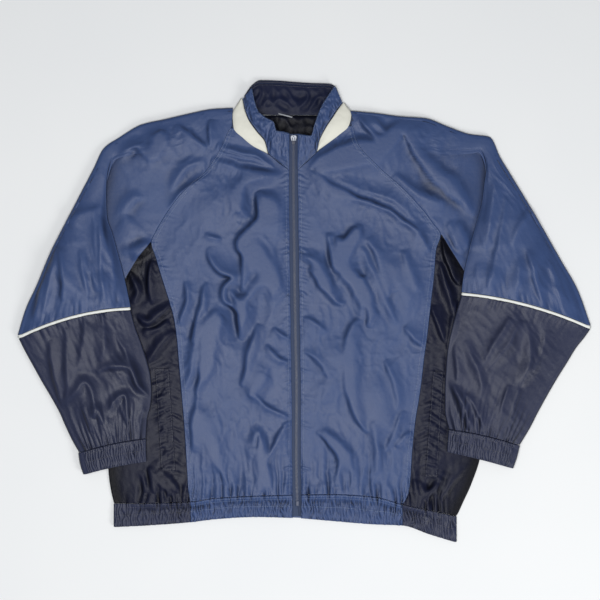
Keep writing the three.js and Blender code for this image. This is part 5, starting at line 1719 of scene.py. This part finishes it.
        def gathers(share: Array, points: Array) -> Array:
            """Lengthwise gathers from both seams: longer and higher over the cuff.

            Args:
                share: Share down the piece.
                points: Points of its wall.

            Returns:
                Height that the gathers add.
            """
            v = (number / last)[:, None] * 200
            place = share * 175
            edge = smooth(0, 0.08, share) * smooth(1, 0.94, share)
            top = np.exp(-v / 22) * (2.2 * ridged(GATHERS(place / 9 + 11, v / 70))
                                     + ridged(GATHERS(place / 5, v / 40)))
            up = 200 - v
            foot = np.exp(-up / 32) * (3.8 * ridged(GATHERS(place / 11 + 3, v / 90))
                                       + 1.8 * ridged(GATHERS(place / 5 + 7, v / 60)))
            return edge * (top + foot)

        grid = self.tube(side, rows, WALL, 84, gathers)
        cut = {Side.RIGHT: ((0.44, 0.26), 0.080), Side.LEFT: ((0.47, 0.27), 0.091)}[side]
        return Cloth(f"forearm_{side.value}", grid, WALL, self.finishes.panel, "panel",
                     (f"sleeve_lower_{side.value}",), *cut, (f"panel_side_{side.value}",), floor=0.0)

    def cuff(self, side: Side) -> Cloth:
        """Lays the elastic cuff, with fine pleats that its stitch rows pinch.

        Args:
            side: The wearer's side.

        Returns:
            The piece of cloth.
        """
        rows, number = row_table(CUFF[side.value], 17)
        v = (number / number[-1])[:, None]

        def pleats(share: Array, points: Array) -> Array:
            """Rounded pleats: |sin| across the band, whose place wanders, lower at the stitch rows.

            Args:
                share: Share down the piece.
                points: Points of its wall.

            Returns:
                Height that the pleats add.
            """
            place = share * 118
            wander = 6.5 * PLEATS(place / 10, v * 2.4 + 3)
            ridge = np.abs(np.sin(math.pi * (place + wander) / self.pleat_pitch)) - 0.5
            strength = 0.6 + 2.2 * np.abs(PLEATS(place / 12 + 5, v * 1.7))
            pinch = 1 - 0.6 * (np.exp(-(((v - 0.12) / 0.06) ** 2)) + np.exp(-(((v - 0.85) / 0.06) ** 2)))
            edge = smooth(0, 0.04, share) * smooth(1, 0.96, share)
            return 2 * self.pleat_height * strength * ridge * pinch * edge

        grid = self.tube(side, rows, BAND_WALL, 150, pleats)
        cut = {Side.RIGHT: ((0.30, 0.045), 0.0125), Side.LEFT: ((0.32, 0.045), 0.0135)}[side]
        return Cloth(f"cuff_band_{side.value}", grid, BAND_WALL, self.finishes.panel, "panel",
                     (f"cuff_{side.value}",), *cut, (f"panel_side_{side.value}",), floor=0.0)

    def piping(self, side: Side) -> Cloth:
        """Lays the piping as a round-edged band in the seam between upper and lower sleeve.

        Args:
            side: The wearer's side.

        Returns:
            The piece of cloth.
        """
        first, following = UPPER_SLEEVE[side.value], LOWER_SLEEVE[side.value]
        shares = np.array([0, 0.12, 0.28, 0.5, 0.72, 0.88, 1.0])
        t = mix(PIPING_FROM, 1 - PIPING_FROM, shares)
        names = ("foldX", "foldY", "outX", "outY", "bow")
        rows = {name: mix(first[name][-1], following[name][0], t) for name in names}
        grid = self.tube(side, rows, BAND_WALL, 120)
        crown = 0.5 * np.sin(math.pi * shares)[:, None]
        count = 120 + 8
        grid[:, 8:count, 2] += crown
        return Cloth(f"sleeve_piping_{side.value}", grid, BAND_WALL, self.finishes.piping, "piping",
                     (f"piping_{side.value}",), floor=0.0)


@dataclass
class HemBand:
    """The gathered elastic band at the hem: front, side and back pieces."""

    finishes: Finishes
    pleat_pitch: float = 5.0
    pleat_height: float = 0.8
    end_turn: float = 3.2
    nose_reach: float = 3.0

    def build(self) -> dict[str, Cloth]:
        """Makes the band's five pieces.

        Returns:
            The pieces by name.
        """
        right = {name: values[-1] for name, values in BODY["right"].items()}
        left = {name: values[-1] for name, values in BODY["left"].items()}
        gap = SEAM / 2
        end_right, end_left = right["edge"] + self.end_turn, left["edge"] - self.end_turn
        pieces = [
            self.piece("hem_front_right", right["inner"] - gap, right["seam"] + gap, None,
                       (0.25, 0.044), 0.0095),
            self.piece("hem_side_right", right["seam"] - gap, end_right, Side.RIGHT, (0.19, 0.046), 0.0075),
            self.piece("hem_front_left", left["inner"] + gap, left["seam"] - gap, None,
                       (0.25, 0.048), 0.0105),
            self.piece("hem_side_left", left["seam"] + gap, end_left, Side.LEFT, (0.14, 0.048), 0.0058),
            self.back(end_right, end_left),
        ]
        return {piece.name: piece for piece in pieces}

    def height(self, x: Array, v: Array, along: Array) -> Array:
        """Height of the band's middle, which meets the gathers above it at its seam, with its pleats.

        Pleats are |sin| across the band, whose place and strength wander, pinched by three stitch rows.

        Args:
            x: Places across, in millimetres.
            v: Share down the band.
            along: Length along the band.

        Returns:
            Height above the table.
        """
        seam = curve(HEM["x"], HEM["seam"], x)
        top = HEIGHT(x, seam) + 0.4
        z = mix(top, HEIGHT.hem(x, v), smooth(0, 0.35, v))
        wander = 7 * PLEATS(along / 11, v * 2.2 + 1)
        ridge = np.abs(np.sin(math.pi * (along + wander) / self.pleat_pitch)) - 0.5
        strength = 0.5 + 1.9 * np.abs(PLEATS(along / 13 + 5, v * 1.5))
        rows = sum(np.exp(-(((v - place) / 0.05) ** 2)) for place in (0.06, 0.17, 0.84))
        return z + 3.6 * self.pleat_height * strength * ridge * (1 - 0.55 * np.clip(rows, 0, 1))

    def piece(self, name: str, start: float, end: float, turn: Side | None, flat: tuple[float, float],
              area: float) -> Cloth:
        """Lays one upper piece of the band, and turns it down at the body's side fold if it reaches that.

        Args:
            name: The solid that it replaces.
            start: Where it starts across.
            end: Where it ends.
            turn: Side where it turns down, if it does.
            flat: Flat width and length in metres.
            area: Flat area in square metres.

        Returns:
            The piece of cloth.
        """
        t = sewn_steps(abs(end - start), 1.1)[None, :]
        v = sewn_steps(42, 2.2)[:, None]
        x = np.broadcast_to(mix(start, end, t), (len(v), t.shape[1]))
        seam = curve(HEM["x"], HEM["seam"], x) - HEM_GAP * 0.6
        bottom = curve(HEM["x"], HEM["bottom"], x)
        along = np.abs(x - start)
        y = mix(seam, bottom, v) + 0.5 * PLEATS(along / 6, 0 * v + 8) * v
        z = self.height(x, np.broadcast_to(v, x.shape), along)
        z = np.maximum(z, BAND_WALL * 1.4)
        grid = np.stack([x, y, z], axis=-1)
        if turn is not None:
            tip = grid[:, -1]
            away = np.broadcast_to([turn.out, 0.0, 0.0], tip.shape)
            low = np.full(len(tip), BAND_WALL / 2)
            grid = np.concatenate([grid, nose(tip, away, self.nose_reach, low, tip[:, 2], 8)], axis=1)
        front = "front" in name
        finish = self.finishes.shell if front else self.finishes.panel
        return Cloth(f"band_{name[4:]}", grid, BAND_WALL, finish, "shell" if front else "panel", (name,),
                     flat, area, ("band_back",), floor=0.0)

    def back(self, start: float, end: float) -> Cloth:
        """Lays the band's back flat on the table.

        Args:
            start: Where it starts across.
            end: Where it ends.

        Returns:
            The piece of cloth.
        """
        t = np.linspace(0, 1, 120)[None, :]
        v = sewn_steps(44, 4)[:, None]
        x = np.broadcast_to(mix(start + SEAM, end - SEAM, t), (len(v), t.shape[1]))
        y = mix(curve(HEM["x"], HEM["seam"], x) - 2 * HEM_GAP, curve(HEM["x"], HEM["bottom"], x), v)
        grid = np.stack([x, y, TABLE + 0 * x], axis=-1)
        return Cloth("band_back", grid, WALL, self.finishes.shell, "shell", ("hem_back",),
                     (0.62, 0.05), 0.0246, floor=0.0)


@dataclass
class Collar:
    """The stand collar: fronts, pale stripes, back with its dark lining, neck lining and hanger loop."""

    finishes: Finishes
    crown: float = 3.0
    lean: float = 1.6
    stripe_lap: float = 0.1
    stripe_lift: float = 1.2
    binding_wall: float = 2.08
    loop_wall: float = 1.2

    def build(self) -> dict[str, Cloth]:
        """Makes all pieces of the collar.

        Returns:
            The pieces by name.
        """
        pieces = []
        for side in Side:
            pieces += [self.front(side), self.stripe(side)]
        pieces += [self.back(), self.lining(), self.binding(), self.neck_lining(), self.loop()]
        return {piece.name: piece for piece in pieces}

    def front(self, side: Side) -> Cloth:
        """Rolls a collar front from its low line to its top line, crowned by a sine between them.

        Args:
            side: The wearer's side.

        Returns:
            The piece of cloth.
        """
        rows = COLLAR[side.value]
        number = (len(rows["lowX"]) - 1) * sewn_steps(165, 1.8)
        places = np.arange(len(rows["lowX"]))
        fine = {name: curve(places, values, number)[:, None] for name, values in rows.items()}
        begin = mix(0.01, 0.02, smooth(1, 2, number))[:, None]
        t = mix(begin, 1, sewn_steps(60, 1.8)[None, :])
        low = np.stack([fine["lowX"], fine["lowY"], fine["lowZ"]], axis=-1)
        top = np.stack([fine["topX"], fine["topY"], fine["topZ"]], axis=-1)
        grid = mix(low, top, t[..., None])
        along = number[:, None] * 23
        wave = 1.5 * ridged(FINE(along / 15, t * 2.2 + 4)) + 0.8 * ridged(GATHERS(along / 8, t * 3 + 1))
        wave = wave + puckers(along, t * 60, 0.9, 7, 10) + puckers((1 - t) * 60 + 1, along, 0.7, 6.5, 8)
        edge = smooth(0, 0.06, t) * smooth(1, 0.94, t)
        grid[..., 2] += self.crown * np.sin(math.pi * t) + wave * edge * smooth(0, 0.3, number)[:, None]
        cut = {Side.RIGHT: ((0.17, 0.068), 0.0045), Side.LEFT: ((0.165, 0.066), 0.0041)}[side]
        return Cloth(f"collar_{side.value}", grid, COLLAR_WALL, self.finishes.shell, "shell",
                     (f"collar_front_{side.value}",), *cut, (f"panel_front_{side.value}",))

    def stripe(self, side: Side) -> Cloth:
        """Lays the pale stripe between the collar's low line and the seam with the body.

        Args:
            side: The wearer's side.

        Returns:
            The piece of cloth.
        """
        rows, low = STRIPE[side.value], COLLAR[side.value]
        count = len(rows["x"])
        seam = np.stack([rows["x"], rows["y"], rows["z"]], axis=-1)
        top = np.stack([low[name][STRIPE_FIRST:] for name in ("lowX", "lowY", "lowZ")], axis=-1)
        inner = mix(top, seam, np.where(np.arange(count) == 0, 0.4, 0.04)[:, None])
        outer = mix(seam, inner, -self.stripe_lap)
        outer[:, 2] += self.stripe_lift
        number = (count - 1) * sewn_steps(115, 1.8)
        inner, outer = (np.stack([curve(np.arange(count), line[:, k], number) for k in range(3)], axis=-1)
                        for line in (inner, outer))
        t = sewn_steps(34, 1.8)
        grid = mix(inner[:, None], outer[:, None], t[None, :, None])
        along = number[:, None] * 22
        grid[..., 2] += (1.5 + 0.7 * FINE(along / 14, t[None, :] * 2)) * np.sin(math.pi * t)[None, :]
        cut = {Side.RIGHT: ((0.118, 0.038), 0.0024), Side.LEFT: ((0.112, 0.038), 0.0022)}[side]
        return Cloth(f"stripe_{side.value}", grid, WALL, self.finishes.stripe, "stripe",
                     (f"collar_stripe_{side.value}",), *cut, (f"panel_front_{side.value}",))

    def band(self, low: float, high: float, base: float, rise: float, step: float,
             wave: float = 0.0) -> Array:
        """Lays a sheet on the collar's back between two shares of its height.

        Args:
            low: Share of the height where it starts.
            high: Share where it ends.
            base: Height of its middle at the seam.
            rise: How much higher it would be at the collar's top, growing with the square of the share.
            step: Spacing of the grid.
            wave: Height of its small wrinkles.

        Returns:
            (m, n, 3) grid.
        """
        x = mix(COLLAR_BACK["x"][0], COLLAR_BACK["x"][-1], sewn_steps(170, step))[:, None]
        wide = high - low > 0.2
        v = mix(low, high, sewn_steps(55 * (high - low), step) if wide else np.linspace(0, 1, 6))[None, :]
        seam = curve(COLLAR_BACK["x"], COLLAR_BACK["seam"], x)
        top = curve(COLLAR_BACK["x"], COLLAR_BACK["top"], x)
        free = np.sin(math.pi * np.clip((v - low) / (high - low), 0, 1))
        z = base + rise * v * v + wave * ridged(FINE(x / 17, v * 2.6)) * free
        columns = [np.broadcast_to(x, z.shape), mix(seam, top, v), np.broadcast_to(z, z.shape)]
        return np.stack(columns, axis=-1)

    def back(self) -> Cloth:
        """Lays the collar's outer cloth at the back, flat on the table.

        Returns:
            The piece of cloth.
        """
        grid = self.band(0, 1, TABLE, 0.0, 4)
        return Cloth("collar_outer_back", grid, WALL, self.finishes.shell, "shell", ("collar_back",),
                     (0.175, 0.062), 0.0092, floor=0.0)

    def lining(self) -> Cloth:
        """Lays the collar's dark lining over its outer cloth.

        Returns:
            The piece of cloth.
        """
        grid = self.band(0, 0.9, TABLE + LINING_RISE, self.lean, 1.8, 2.6)
        return Cloth("collar_inner_back", grid, WALL, self.finishes.lining, "lining", ("collar_lining",),
                     (0.175, 0.057), 0.0083, ("collar_outer_back",))

    def binding(self) -> Cloth:
        """Lays the rolled edge along the top of the collar's back.

        Returns:
            The piece of cloth.
        """
        grid = self.band(0.912, 1, TABLE + LINING_RISE + 0.4, self.lean, 1.6)
        return Cloth("collar_edge", grid, self.binding_wall, self.finishes.lining, "shell",
                     ("collar_binding",))

    def neck_lining(self) -> Cloth:
        """Lays the lining below the neck seam, rumpled inside the jacket.

        Returns:
            The piece of cloth.
        """
        v, t = np.meshgrid(sewn_steps(45, 1.6), sewn_steps(102, 1.8), indexing="ij")
        y = mix(344.4, 296.0, v)
        x = mix(-70.0, 32.0, t)
        fold = 2.4 * ridged(BROAD(x / 19 + 4, y / 34)) + 1.2 * FINE(x / 9, y / 14)
        edge = smooth(0, 0.1, v) * smooth(0, 0.05, t) * smooth(1, 0.95, t)
        z = TABLE + 1.8 + np.maximum(fold, -0.4) * edge
        grid = np.stack([x, y, z], axis=-1)
        # shade paints the shade inside the neck opening onto this lining, darkening it all over.
        return Cloth("neck_facing", grid, WALL, self.finishes.lining, "lining", ("neck_lining",),
                     (0.104, 0.048), 0.0047, ("panel_back",), shade=0.45)

    def loop(self) -> Cloth:
        """Lays the hanger loop: a short ribbon that arches a little over the lining.

        Returns:
            The piece of cloth.
        """
        t = np.linspace(0, 1, 30)[None, :]
        v = np.linspace(0.5, -0.5, 7)[:, None]
        along = (t - 0.5) * 32
        x = -30 + along + 0 * v
        y = 343 + along * -0.27 + v * 2.4
        z = TABLE + LINING_RISE + 2 * TABLE + SEAM + 2.4 * np.sin(math.pi * t) ** 2 + 0 * v
        grid = np.stack([x, y, z], axis=-1)
        return Cloth("hanging_loop", grid, self.loop_wall, self.finishes.loop, "loop", ("hanger_loop",))


@dataclass
class Zip:
    """The closed zip: woven tapes, interlocked teeth and the stop at the bottom.

    The slider and its pull tab are the part's own solids, with a metal and an enamel finish.
    """

    finishes: Finishes
    pitch: float = 1.45
    tooth: tuple[float, float, float] = (2.7, 1.0, 1.1)
    slider_y: float = 303.0

    def build(self) -> dict[str, Cloth]:
        """Makes the tapes, teeth and stop, and finishes the slider and the pull.

        Returns:
            The tapes by name.
        """
        tapes = [self.tape(side) for side in Side]
        self.teeth()
        self.stop()
        for node, finish in (("zip_slider", self.finishes.metal), ("zip_pull", self.finishes.enamel)):
            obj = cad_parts[node]
            obj.data.materials.clear()
            obj.data.materials.append(finish)
        return {piece.name: piece for piece in tapes}

    def tape(self, side: Side) -> Cloth:
        """Lays a tape from the zip's middle to under the front's edge, with a rib beside the teeth.

        Args:
            side: The wearer's side.

        Returns:
            The piece of cloth.
        """
        y = mix(ZIP_TOP - 1, ZIP_BOTTOM, sewn_steps(671, 3.0))[:, None]
        across = np.array([0.15, 0.6, 1.2, 1.9, 2.6, 3.4, 4.4, 5.8, 7.4, 9.2, 11.0])[None, :]
        x = zip_x(y) + side.out * across
        rib = 0.35 * np.exp(-(((across - 2.6) / 0.5) ** 2))
        z = HEIGHT.tape(x, np.broadcast_to(y, x.shape)) + rib + 0.12 * FINE(y / 9, across / 6)
        grid = np.stack([x, np.broadcast_to(y, x.shape), z], axis=-1)
        return Cloth(f"tape_{side.value}", grid, WALL * 0.8, self.finishes.tape, "tape",
                     (f"zip_tape_{side.value}",), (0.012, 0.68), 0.0076, ("panel_back",))

    def teeth(self) -> bpy.types.Object:
        """Repeats one small wedge-ended block down both sides of the zip, half a pitch apart.

        Returns:
            The teeth as one object.
        """
        y = np.arange(self.slider_y - 5, ZIP_BOTTOM + 22, -self.pitch / 2)
        out = np.where(np.arange(len(y)) % 2 == 0, -1.0, 1.0)
        x = zip_x(y)
        z = HEIGHT.tape(x, y) + WALL * 0.4 + 0.45
        base = np.array([(sx * a, sy * b, sz * c) for sz, c in ((-1, 0.5), (1, 0.42))
                         for sx, a, sy, b in ((-1, 0.5, -1, 0.3), (1, 0.5, -1, 0.5), (1, 0.5, 1, 0.5),
                                              (-1, 0.5, 1, 0.3))])
        size = np.array(self.tooth)
        block = base * size
        points = np.repeat(block[None], len(y), axis=0)
        points[..., 0] *= out[:, None]
        points += np.stack([x + out * 0.95, y, z], axis=-1)[:, None, :]
        quads = np.array([(0, 3, 2, 1), (4, 5, 6, 7), (0, 1, 5, 4), (1, 2, 6, 5), (2, 3, 7, 6), (3, 0, 4, 7)])
        faces = quads[None] + 8 * np.arange(len(y))[:, None, None]
        flipped = faces[..., ::-1]
        faces = np.where((out < 0)[:, None, None], flipped, faces).reshape(-1, 4)
        obj = put_mesh("zip_teeth", points.reshape(-1, 3), faces, self.finishes.teeth, smooth_faces=False)
        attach(obj, GARMENT)
        return obj

    def stop(self) -> bpy.types.Object:
        """Rounds the box and pin at the zip's foot: a superellipse across, flattened towards both ends.

        Returns:
            The stop's object.
        """
        angle = np.linspace(0, 2 * math.pi, 25)[:-1]
        level = np.linspace(0, 1, 9)
        y = -338 + 12 * (level - 0.5)
        x = float(zip_x(np.array(-338.0)))
        z = float(HEIGHT.tape(np.array([x]), np.array([-338.0]))[0]) + 1.4
        swell = (1 - np.abs(2 * level - 1) ** 6) ** 0.25
        c, s = np.cos(angle), np.sin(angle)
        px = x + 3.1 * swell[:, None] * np.sign(c) * np.abs(c) ** 0.55
        pz = z + 1.1 * swell[:, None] * np.sign(s) * np.abs(s) ** 0.55
        ring = np.stack([px, np.broadcast_to(y[:, None], px.shape), pz], axis=-1)
        n = len(angle)
        i, j = np.meshgrid(np.arange(len(level) - 1), np.arange(n), indexing="ij")
        a, b = (i * n + j).ravel(), (i * n + (j + 1) % n).ravel()
        faces = np.stack([a, b, b + n, a + n], axis=1)
        points = ring.reshape(-1, 3)
        obj = put_mesh("zip_stop", points, turned_out(points, faces), self.finishes.teeth)
        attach(obj, GARMENT)
        return obj


def at_lengths(arc: Array, values: Array, at: Array) -> Array:
    """Values of a line, such as its points, at lengths along it.

    Args:
        arc: (n,) length up to each point of the line.
        values: (n, 3) values at its points.
        at: (k,) lengths.

    Returns:
        (k, 3) values.
    """
    return np.stack([np.interp(at, arc, values[:, k]) for k in range(3)], axis=-1)


@dataclass
class Stitching:
    """Rows of short raised stitches on the finished pieces."""

    finishes: Finishes
    pitch: float = 3.0
    length: float = 2.5
    width: float = 1.1
    height: float = 0.7

    def build(self, pieces: dict[str, Cloth]) -> None:
        """Sews the seams, hem, cuffs, welts and collar.

        Args:
            pieces: All cloth pieces by name.
        """
        for side in Side:
            name = side.value
            front = pieces[f"panel_front_{name}"]
            self.sew(f"stitch_front_{name}", [
                self.beside(front, 1, 5.5, False, self.under_neck), self.beside(front, 1, 1.8, True),
                self.beside(front, 1, 7.4, True),
            ], self.finishes.blue_thread)
            collar = pieces[f"collar_{name}"]
            self.sew(f"stitch_collar_{name}", [
                self.beside(collar, 1, 3.0, True), self.beside(collar, 0, 5.0, False),
                self.beside(collar, 1, 3.0, False),
            ], self.finishes.blue_thread)
            band, side_band = pieces[f"band_front_{name}"], pieces[f"band_side_{name}"]
            places = (2.2, 6.8, 35.0)
            self.sew(f"stitch_hem_{name}", [self.beside(band, 0, d, False) for d in places],
                     self.finishes.blue_thread)
            rows = [self.beside(side_band, 0, d, False, self.on_top) for d in places]
            self.sew(f"stitch_hem_side_{name}", rows, self.finishes.navy_thread)
            cuff = pieces[f"cuff_band_{name}"]
            rows = [self.beside(cuff, 0, d, False, self.on_top) for d in (2.2, 6.0, 33.0)]
            self.sew(f"stitch_cuff_{name}", rows, self.finishes.navy_thread)
            welt = pieces[f"welt_{name}"]
            lines = [self.beside(welt, axis, 1.6, end) for axis in (0, 1) for end in (False, True)]
            lines += [self.beside(welt, 0, d, end) for d in (3.0, 4.4) for end in (False, True)]
            self.sew(f"stitch_welt_{name}", lines, self.finishes.navy_thread)
        self.sew("stitch_neck", [self.beside(pieces["collar_inner_back"], 1, 2.0, True),
                                 self.beside(pieces["collar_edge"], 1, 2.2, False)],
                 self.finishes.navy_thread)

    @staticmethod
    def under_neck(points: Array) -> Array:
        """Whether each point is below the collar's seam."""
        return points[:, 1] < NECK_FRONT - 4

    @staticmethod
    def on_top(points: Array) -> Array:
        """Whether each point is on the upper wall of a piece that turns down at its side."""
        return points[:, 2] > 0.55 * points[:, 2].max()

    def beside(self, piece: Cloth, axis: int, distance: float, from_end: bool,
               keep: Callable[[Array], Array] | None = None) -> tuple[Array, Array]:
        """Points and normals of a line at a distance from an edge of a piece.

        Args:
            piece: The piece to sew.
            axis: 0 for a line beside its first or last row, 1 for its first or last column.
            distance: Distance from that edge in millimetres.
            from_end: Whether the edge is the last one.
            keep: Says which points belong to the line.

        Returns:
            (k, 3) points on the outer face and (k, 3) unit normals that face up.
        """
        grid = np.moveaxis(piece.grid, axis, 0)
        normals = np.moveaxis(piece.normals, axis, 0)
        if from_end:
            grid, normals = grid[::-1], normals[::-1]
        step = np.linalg.norm(np.diff(grid, axis=0), axis=-1)
        arc = np.concatenate([np.zeros((1, grid.shape[1])), np.cumsum(step, axis=0)])
        wanted = np.minimum(distance, arc[-1] * 0.5)
        k = np.clip((arc <= wanted).sum(axis=0) - 1, 0, len(grid) - 2)
        column = np.arange(grid.shape[1])
        t = ((wanted - arc[k, column]) / np.maximum(arc[k + 1, column] - arc[k, column], 1e-9))[:, None]
        points = mix(grid[k, column], grid[k + 1, column], t)
        normal = unit(mix(normals[k, column], normals[k + 1, column], t))
        normal = normal * np.where(normal[:, 2:] < 0, -1.0, 1.0)
        points = points + normal * piece.wall / 2
        if keep is not None:
            chosen = keep(points)
            points, normal = points[chosen], normal[chosen]
        return points, normal

    def sew(self, name: str, lines: list[tuple[Array, Array]], thread: bpy.types.Material) -> None:
        """Sets a stitch at each pitch along the lines: a flat spindle of eight faces, half sunk in the cloth.

        Args:
            name: Name of the object.
            lines: Points and normals of each line.
            thread: Finish of the thread.
        """
        centres, ahead, up = [], [], []
        for points, normals in lines:
            if len(points) < 3:
                continue
            arc = np.concatenate([[0], np.cumsum(np.linalg.norm(np.diff(points, axis=0), axis=1))])
            at = np.arange(self.pitch, arc[-1] - self.pitch / 2, self.pitch)
            half = self.length / 2
            centres.append(at_lengths(arc, points, at))
            ahead.append(unit(at_lengths(arc, points, at + half) - at_lengths(arc, points, at - half)))
            up.append(unit(at_lengths(arc, normals, at)))
        centre, forward, normal = (np.concatenate(part)[:, None, :] for part in (centres, ahead, up))
        across = np.cross(normal, forward)
        shape = np.array([(-1, 0, 0), (1, 0, 0), (0, -1, 0), (0, 1, 0), (0, 0, 1), (0, 0, -0.6)])
        size = np.array([self.length / 2, self.width / 2, self.height])
        s = shape * size
        points = centre + forward * s[:, :1] + across * s[:, 1:2] + normal * s[:, 2:]
        triangles = np.array([(1, 3, 4), (3, 0, 4), (0, 2, 4), (2, 1, 4),
                              (3, 1, 5), (0, 3, 5), (2, 0, 5), (1, 2, 5)])
        faces = (triangles[None] + 6 * np.arange(len(centre))[:, None, None]).reshape(-1, 3)
        obj = put_mesh(name, points.reshape(-1, 3), faces, thread)
        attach(obj, GARMENT)
        log.info("%s: %d stitches", name, len(centre))


@dataclass
class Studio:
    """Pale floor, soft light from the lower right, and a camera that looks straight down."""

    height: float = 3.2
    lens: float = 109.0
    middle: tuple[float, float] = (-0.0075, 0.0194)
    floor_light: tuple[int, int, int] = (243, 245, 246)
    floor_dark: tuple[int, int, int] = (236, 239, 242)

    def build(self) -> None:
        """Makes the camera, the floor, the lights and the world."""
        self.camera()
        self.floor()
        self.light("overhead", (-0.25, -0.4, 2.9), 1.7, 61.0, (1.0, 0.99, 0.975))
        self.light("low_right", (1.9, -1.9, 1.6), 1.0, 34.0, (1.0, 0.99, 0.97))
        scene = bpy.context.scene
        world = bpy.data.worlds.new("studio_air")
        world.use_nodes = True
        world.node_tree.nodes["Background"].inputs["Color"].default_value = (0.92, 0.95, 1.0, 1.0)
        world.node_tree.nodes["Background"].inputs["Strength"].default_value = 0.2
        scene.world = world
        scene.view_settings.view_transform = "Standard"

    def camera(self) -> None:
        """Places the camera over the jacket."""
        data = bpy.data.cameras.new("camera")
        data.lens = self.lens
        data.sensor_width = 36.0
        obj = bpy.data.objects.new("camera", data)
        obj.location = (*self.middle, self.height)
        bpy.context.scene.collection.objects.link(obj)
        bpy.context.scene.camera = obj

    def light(self, name: str, place: tuple[float, float, float], size: float, power: float,
              colour: tuple[float, float, float]) -> None:
        """Adds a square soft light that faces the jacket's middle.

        Args:
            name: Name of the light.
            place: Where it stands, in metres.
            size: Length of its side, in metres.
            power: Power in watts.
            colour: Its colour.
        """
        data = bpy.data.lights.new(name, "AREA")
        data.shape = "SQUARE"
        data.size = size
        data.energy = power
        data.color = colour
        obj = bpy.data.objects.new(name, data)
        obj.location = place
        obj.rotation_euler = (Vector((0, 0, 0)) - Vector(place)).to_track_quat("-Z", "Y").to_euler()
        bpy.context.scene.collection.objects.link(obj)

    def floor(self) -> None:
        """Lays a wide sheet of faintly mottled paper under the jacket."""
        g = Graph("studio_paper")
        place = g.add("ShaderNodeTexCoord")
        mottle = g.add("ShaderNodeTexNoise", {"Vector": place.outputs["Object"], "Scale": 3.0,
                                              "Detail": 2.0}).outputs["Fac"]
        paper = g.blend(linear(*self.floor_dark), linear(*self.floor_light), mottle)
        g.shade(Base_Color=paper, Roughness=0.9)
        corners = np.array([(-1, -1, 0), (1, -1, 0), (1, 1, 0), (-1, 1, 0)]) * 4000.0 - [0, 0, 0.3]
        put_mesh("floor", corners, np.array([[0, 1, 2, 3]]), g.material)


def main() -> None:
    """Builds the studio and the jacket, piece by piece."""
    logging.basicConfig(level=logging.INFO, format="%(name)s: %(message)s")
    Studio().build()
    finishes = Finishes.make()
    pieces: dict[str, Cloth] = {}
    for part in (BodyPanels(finishes), Sleeves(finishes), HemBand(finishes), Collar(finishes), Zip(finishes)):
        pieces.update(part.build())
    Stitching(finishes).build(pieces)


if __name__ == "__main__":
    main()
